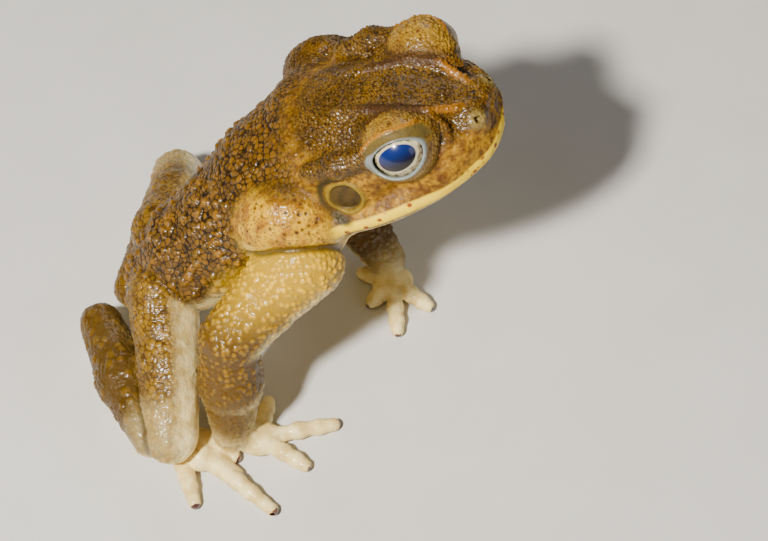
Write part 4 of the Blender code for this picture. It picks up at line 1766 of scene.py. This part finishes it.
@dataclass
class Studio:
    """The camera, lights and plain pale floor."""

    offset: Points
    camera_at: Triple = (48.447, -291.805, 424.296)
    azimuth: float = 5.527
    height: float = 54.485
    roll: float = -9.480
    lens: float = 108.883
    sensor: float = 36.0
    aim: Triple = (0.0, 0.0, 0.04)
    lamps: tuple[Lamp, ...] = (
        Lamp("key", (-0.2, -0.32, 0.55), 0.06, 10.3, (1.0, 0.95, 0.86)),
        Lamp("fill", (0.5, -0.35, 0.3), 0.3, 0.5),
        Lamp("rim", (0.05, 0.5, 0.4), 0.25, 0.7),
    )
    sky: Colour = (1.0, 0.97, 0.93)
    sky_strength: float = 0.075
    floor: Colour = (0.62, 0.61, 0.59)
    floor_half: float = 1.5
    dusk: float = 0.94
    floor_roughness: float = 0.8

    def camera(self) -> None:
        """Place the camera as the photograph has it."""
        a, e, r = (math.radians(v) for v in (self.azimuth, self.height, self.roll))
        back = Vector((math.sin(a) * math.cos(e), -math.cos(a) * math.cos(e), math.sin(e)))
        right = Vector((math.cos(a), math.sin(a), 0.0))
        up = back.cross(right)
        tilted = right * math.cos(r) + up * math.sin(r)
        upward = up * math.cos(r) - right * math.sin(r)
        data = bpy.data.cameras.new("camera")
        data.lens, data.sensor_width = self.lens, self.sensor
        data.clip_start, data.clip_end = 0.01, 10.0
        camera = placed("camera", data)
        camera.matrix_world = Matrix((tilted, upward, back)).transposed().to_4x4()
        camera.location = (Vector(self.camera_at) + Vector(self.offset)) * MM
        bpy.context.scene.camera = camera

    def lights(self) -> None:
        """Hang a key light at the upper left, two weak ones and an even sky."""
        for lamp in self.lamps:
            data = bpy.data.lights.new(lamp.name, "AREA")
            data.size, data.energy, data.color = lamp.size, lamp.power, lamp.colour
            light = placed(lamp.name, data)
            light.location = lamp.place
            turn = (Vector(lamp.place) - Vector(self.aim)).to_track_quat("Z", "Y")
            light.rotation_euler = turn.to_euler()
        world = bpy.data.worlds.new("sky")
        bpy.context.scene.world = world
        world.use_nodes = True
        sky = world.node_tree.nodes["Background"]
        sky.inputs["Color"].default_value = (*self.sky, 1.0)
        sky.inputs["Strength"].default_value = self.sky_strength

    def ground(self, mottle: bpy.types.NodeTree) -> None:
        """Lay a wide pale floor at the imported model's zero.

        Args:
            mottle: The group that breaks colours up.
        """
        mesh = bpy.data.meshes.new("floor")
        half = self.floor_half
        corners = [(-half, -half, 0.0), (half, -half, 0.0), (half, half, 0.0), (-half, half, 0.0)]
        mesh.from_pydata(corners, [], [(0, 1, 2, 3)])
        ground = placed("floor", mesh)
        made, nodes, shader = painted("floor", mottle)
        dusk = tuple(c * self.dusk for c in self.floor)
        colour = nodes.mottled(self.floor, dusk, 40.0, 0.6)
        nodes.feed(shader, {"Base Color": colour, "Roughness": self.floor_roughness})
        mesh.materials.append(made)
        ground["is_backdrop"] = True


SIDES = ("R", "L")
FLESH = ("head", "torso") + tuple(
    f"{name}_{side}"
    for name in ("parotoid", "tympanum", "upper_arm", "forearm", "hand", "thigh", "shank", "foot")
    for side in SIDES
)


def dressed(piece: bpy.types.Object, look: bpy.types.Material, slot: str, *nodes: str) -> None:
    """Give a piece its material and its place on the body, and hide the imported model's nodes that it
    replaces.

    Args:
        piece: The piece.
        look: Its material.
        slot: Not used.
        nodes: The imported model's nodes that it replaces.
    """
    piece.data.materials.clear()
    piece.data.materials.append(look)
    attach(piece, "root")
    if nodes:
        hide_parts(*nodes)
    log.info("%s: %d vertices", piece.name, len(piece.data.vertices))


def frame_offset(head: Head) -> Points:
    """Compare the near eye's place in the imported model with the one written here.

    Args:
        head: The head's form.

    Returns:
        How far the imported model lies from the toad's frame, in millimetres.
    """
    low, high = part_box("eye_R")
    x, y, z = LIDS["R"].centre
    written = head.place.matrix() @ Vector((x, -y, z))
    return np.array((low + high) / 2 / MM - written)


def main() -> None:
    """Build the toad's pieces in order, then the studio."""
    logging.basicConfig(level=logging.INFO)
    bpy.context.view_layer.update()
    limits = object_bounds()
    mottle = mottle_group()
    body = Body()
    offset = frame_offset(body.head)
    skin = Skin(body, offset, limits).make()
    dressed(skin, SkinFinish().material(mottle), "back_skin", *FLESH)
    eye_look = EyeFinish().material(mottle)
    for side in SIDES:
        eye = Eye(side, body.head.place, offset).make()
        dressed(eye, eye_look, "eye", f"eye_{side}")
    horn = TipFinish().material(mottle)
    for side in SIDES:
        toes = Tips(f"toe_tips_{side}", LEGS[side].digits(), offset, limits).make()
        dressed(toes, horn, "pale_skin")
        fingers = Tips(f"finger_tips_{side}", ARMS[side].digits(), offset, limits, swell=0.04).make()
        dressed(fingers, horn, "pale_skin")
    studio = Studio(offset)
    studio.camera()
    studio.lights()
    studio.ground(mottle)


if __name__ == "__main__":
    main()
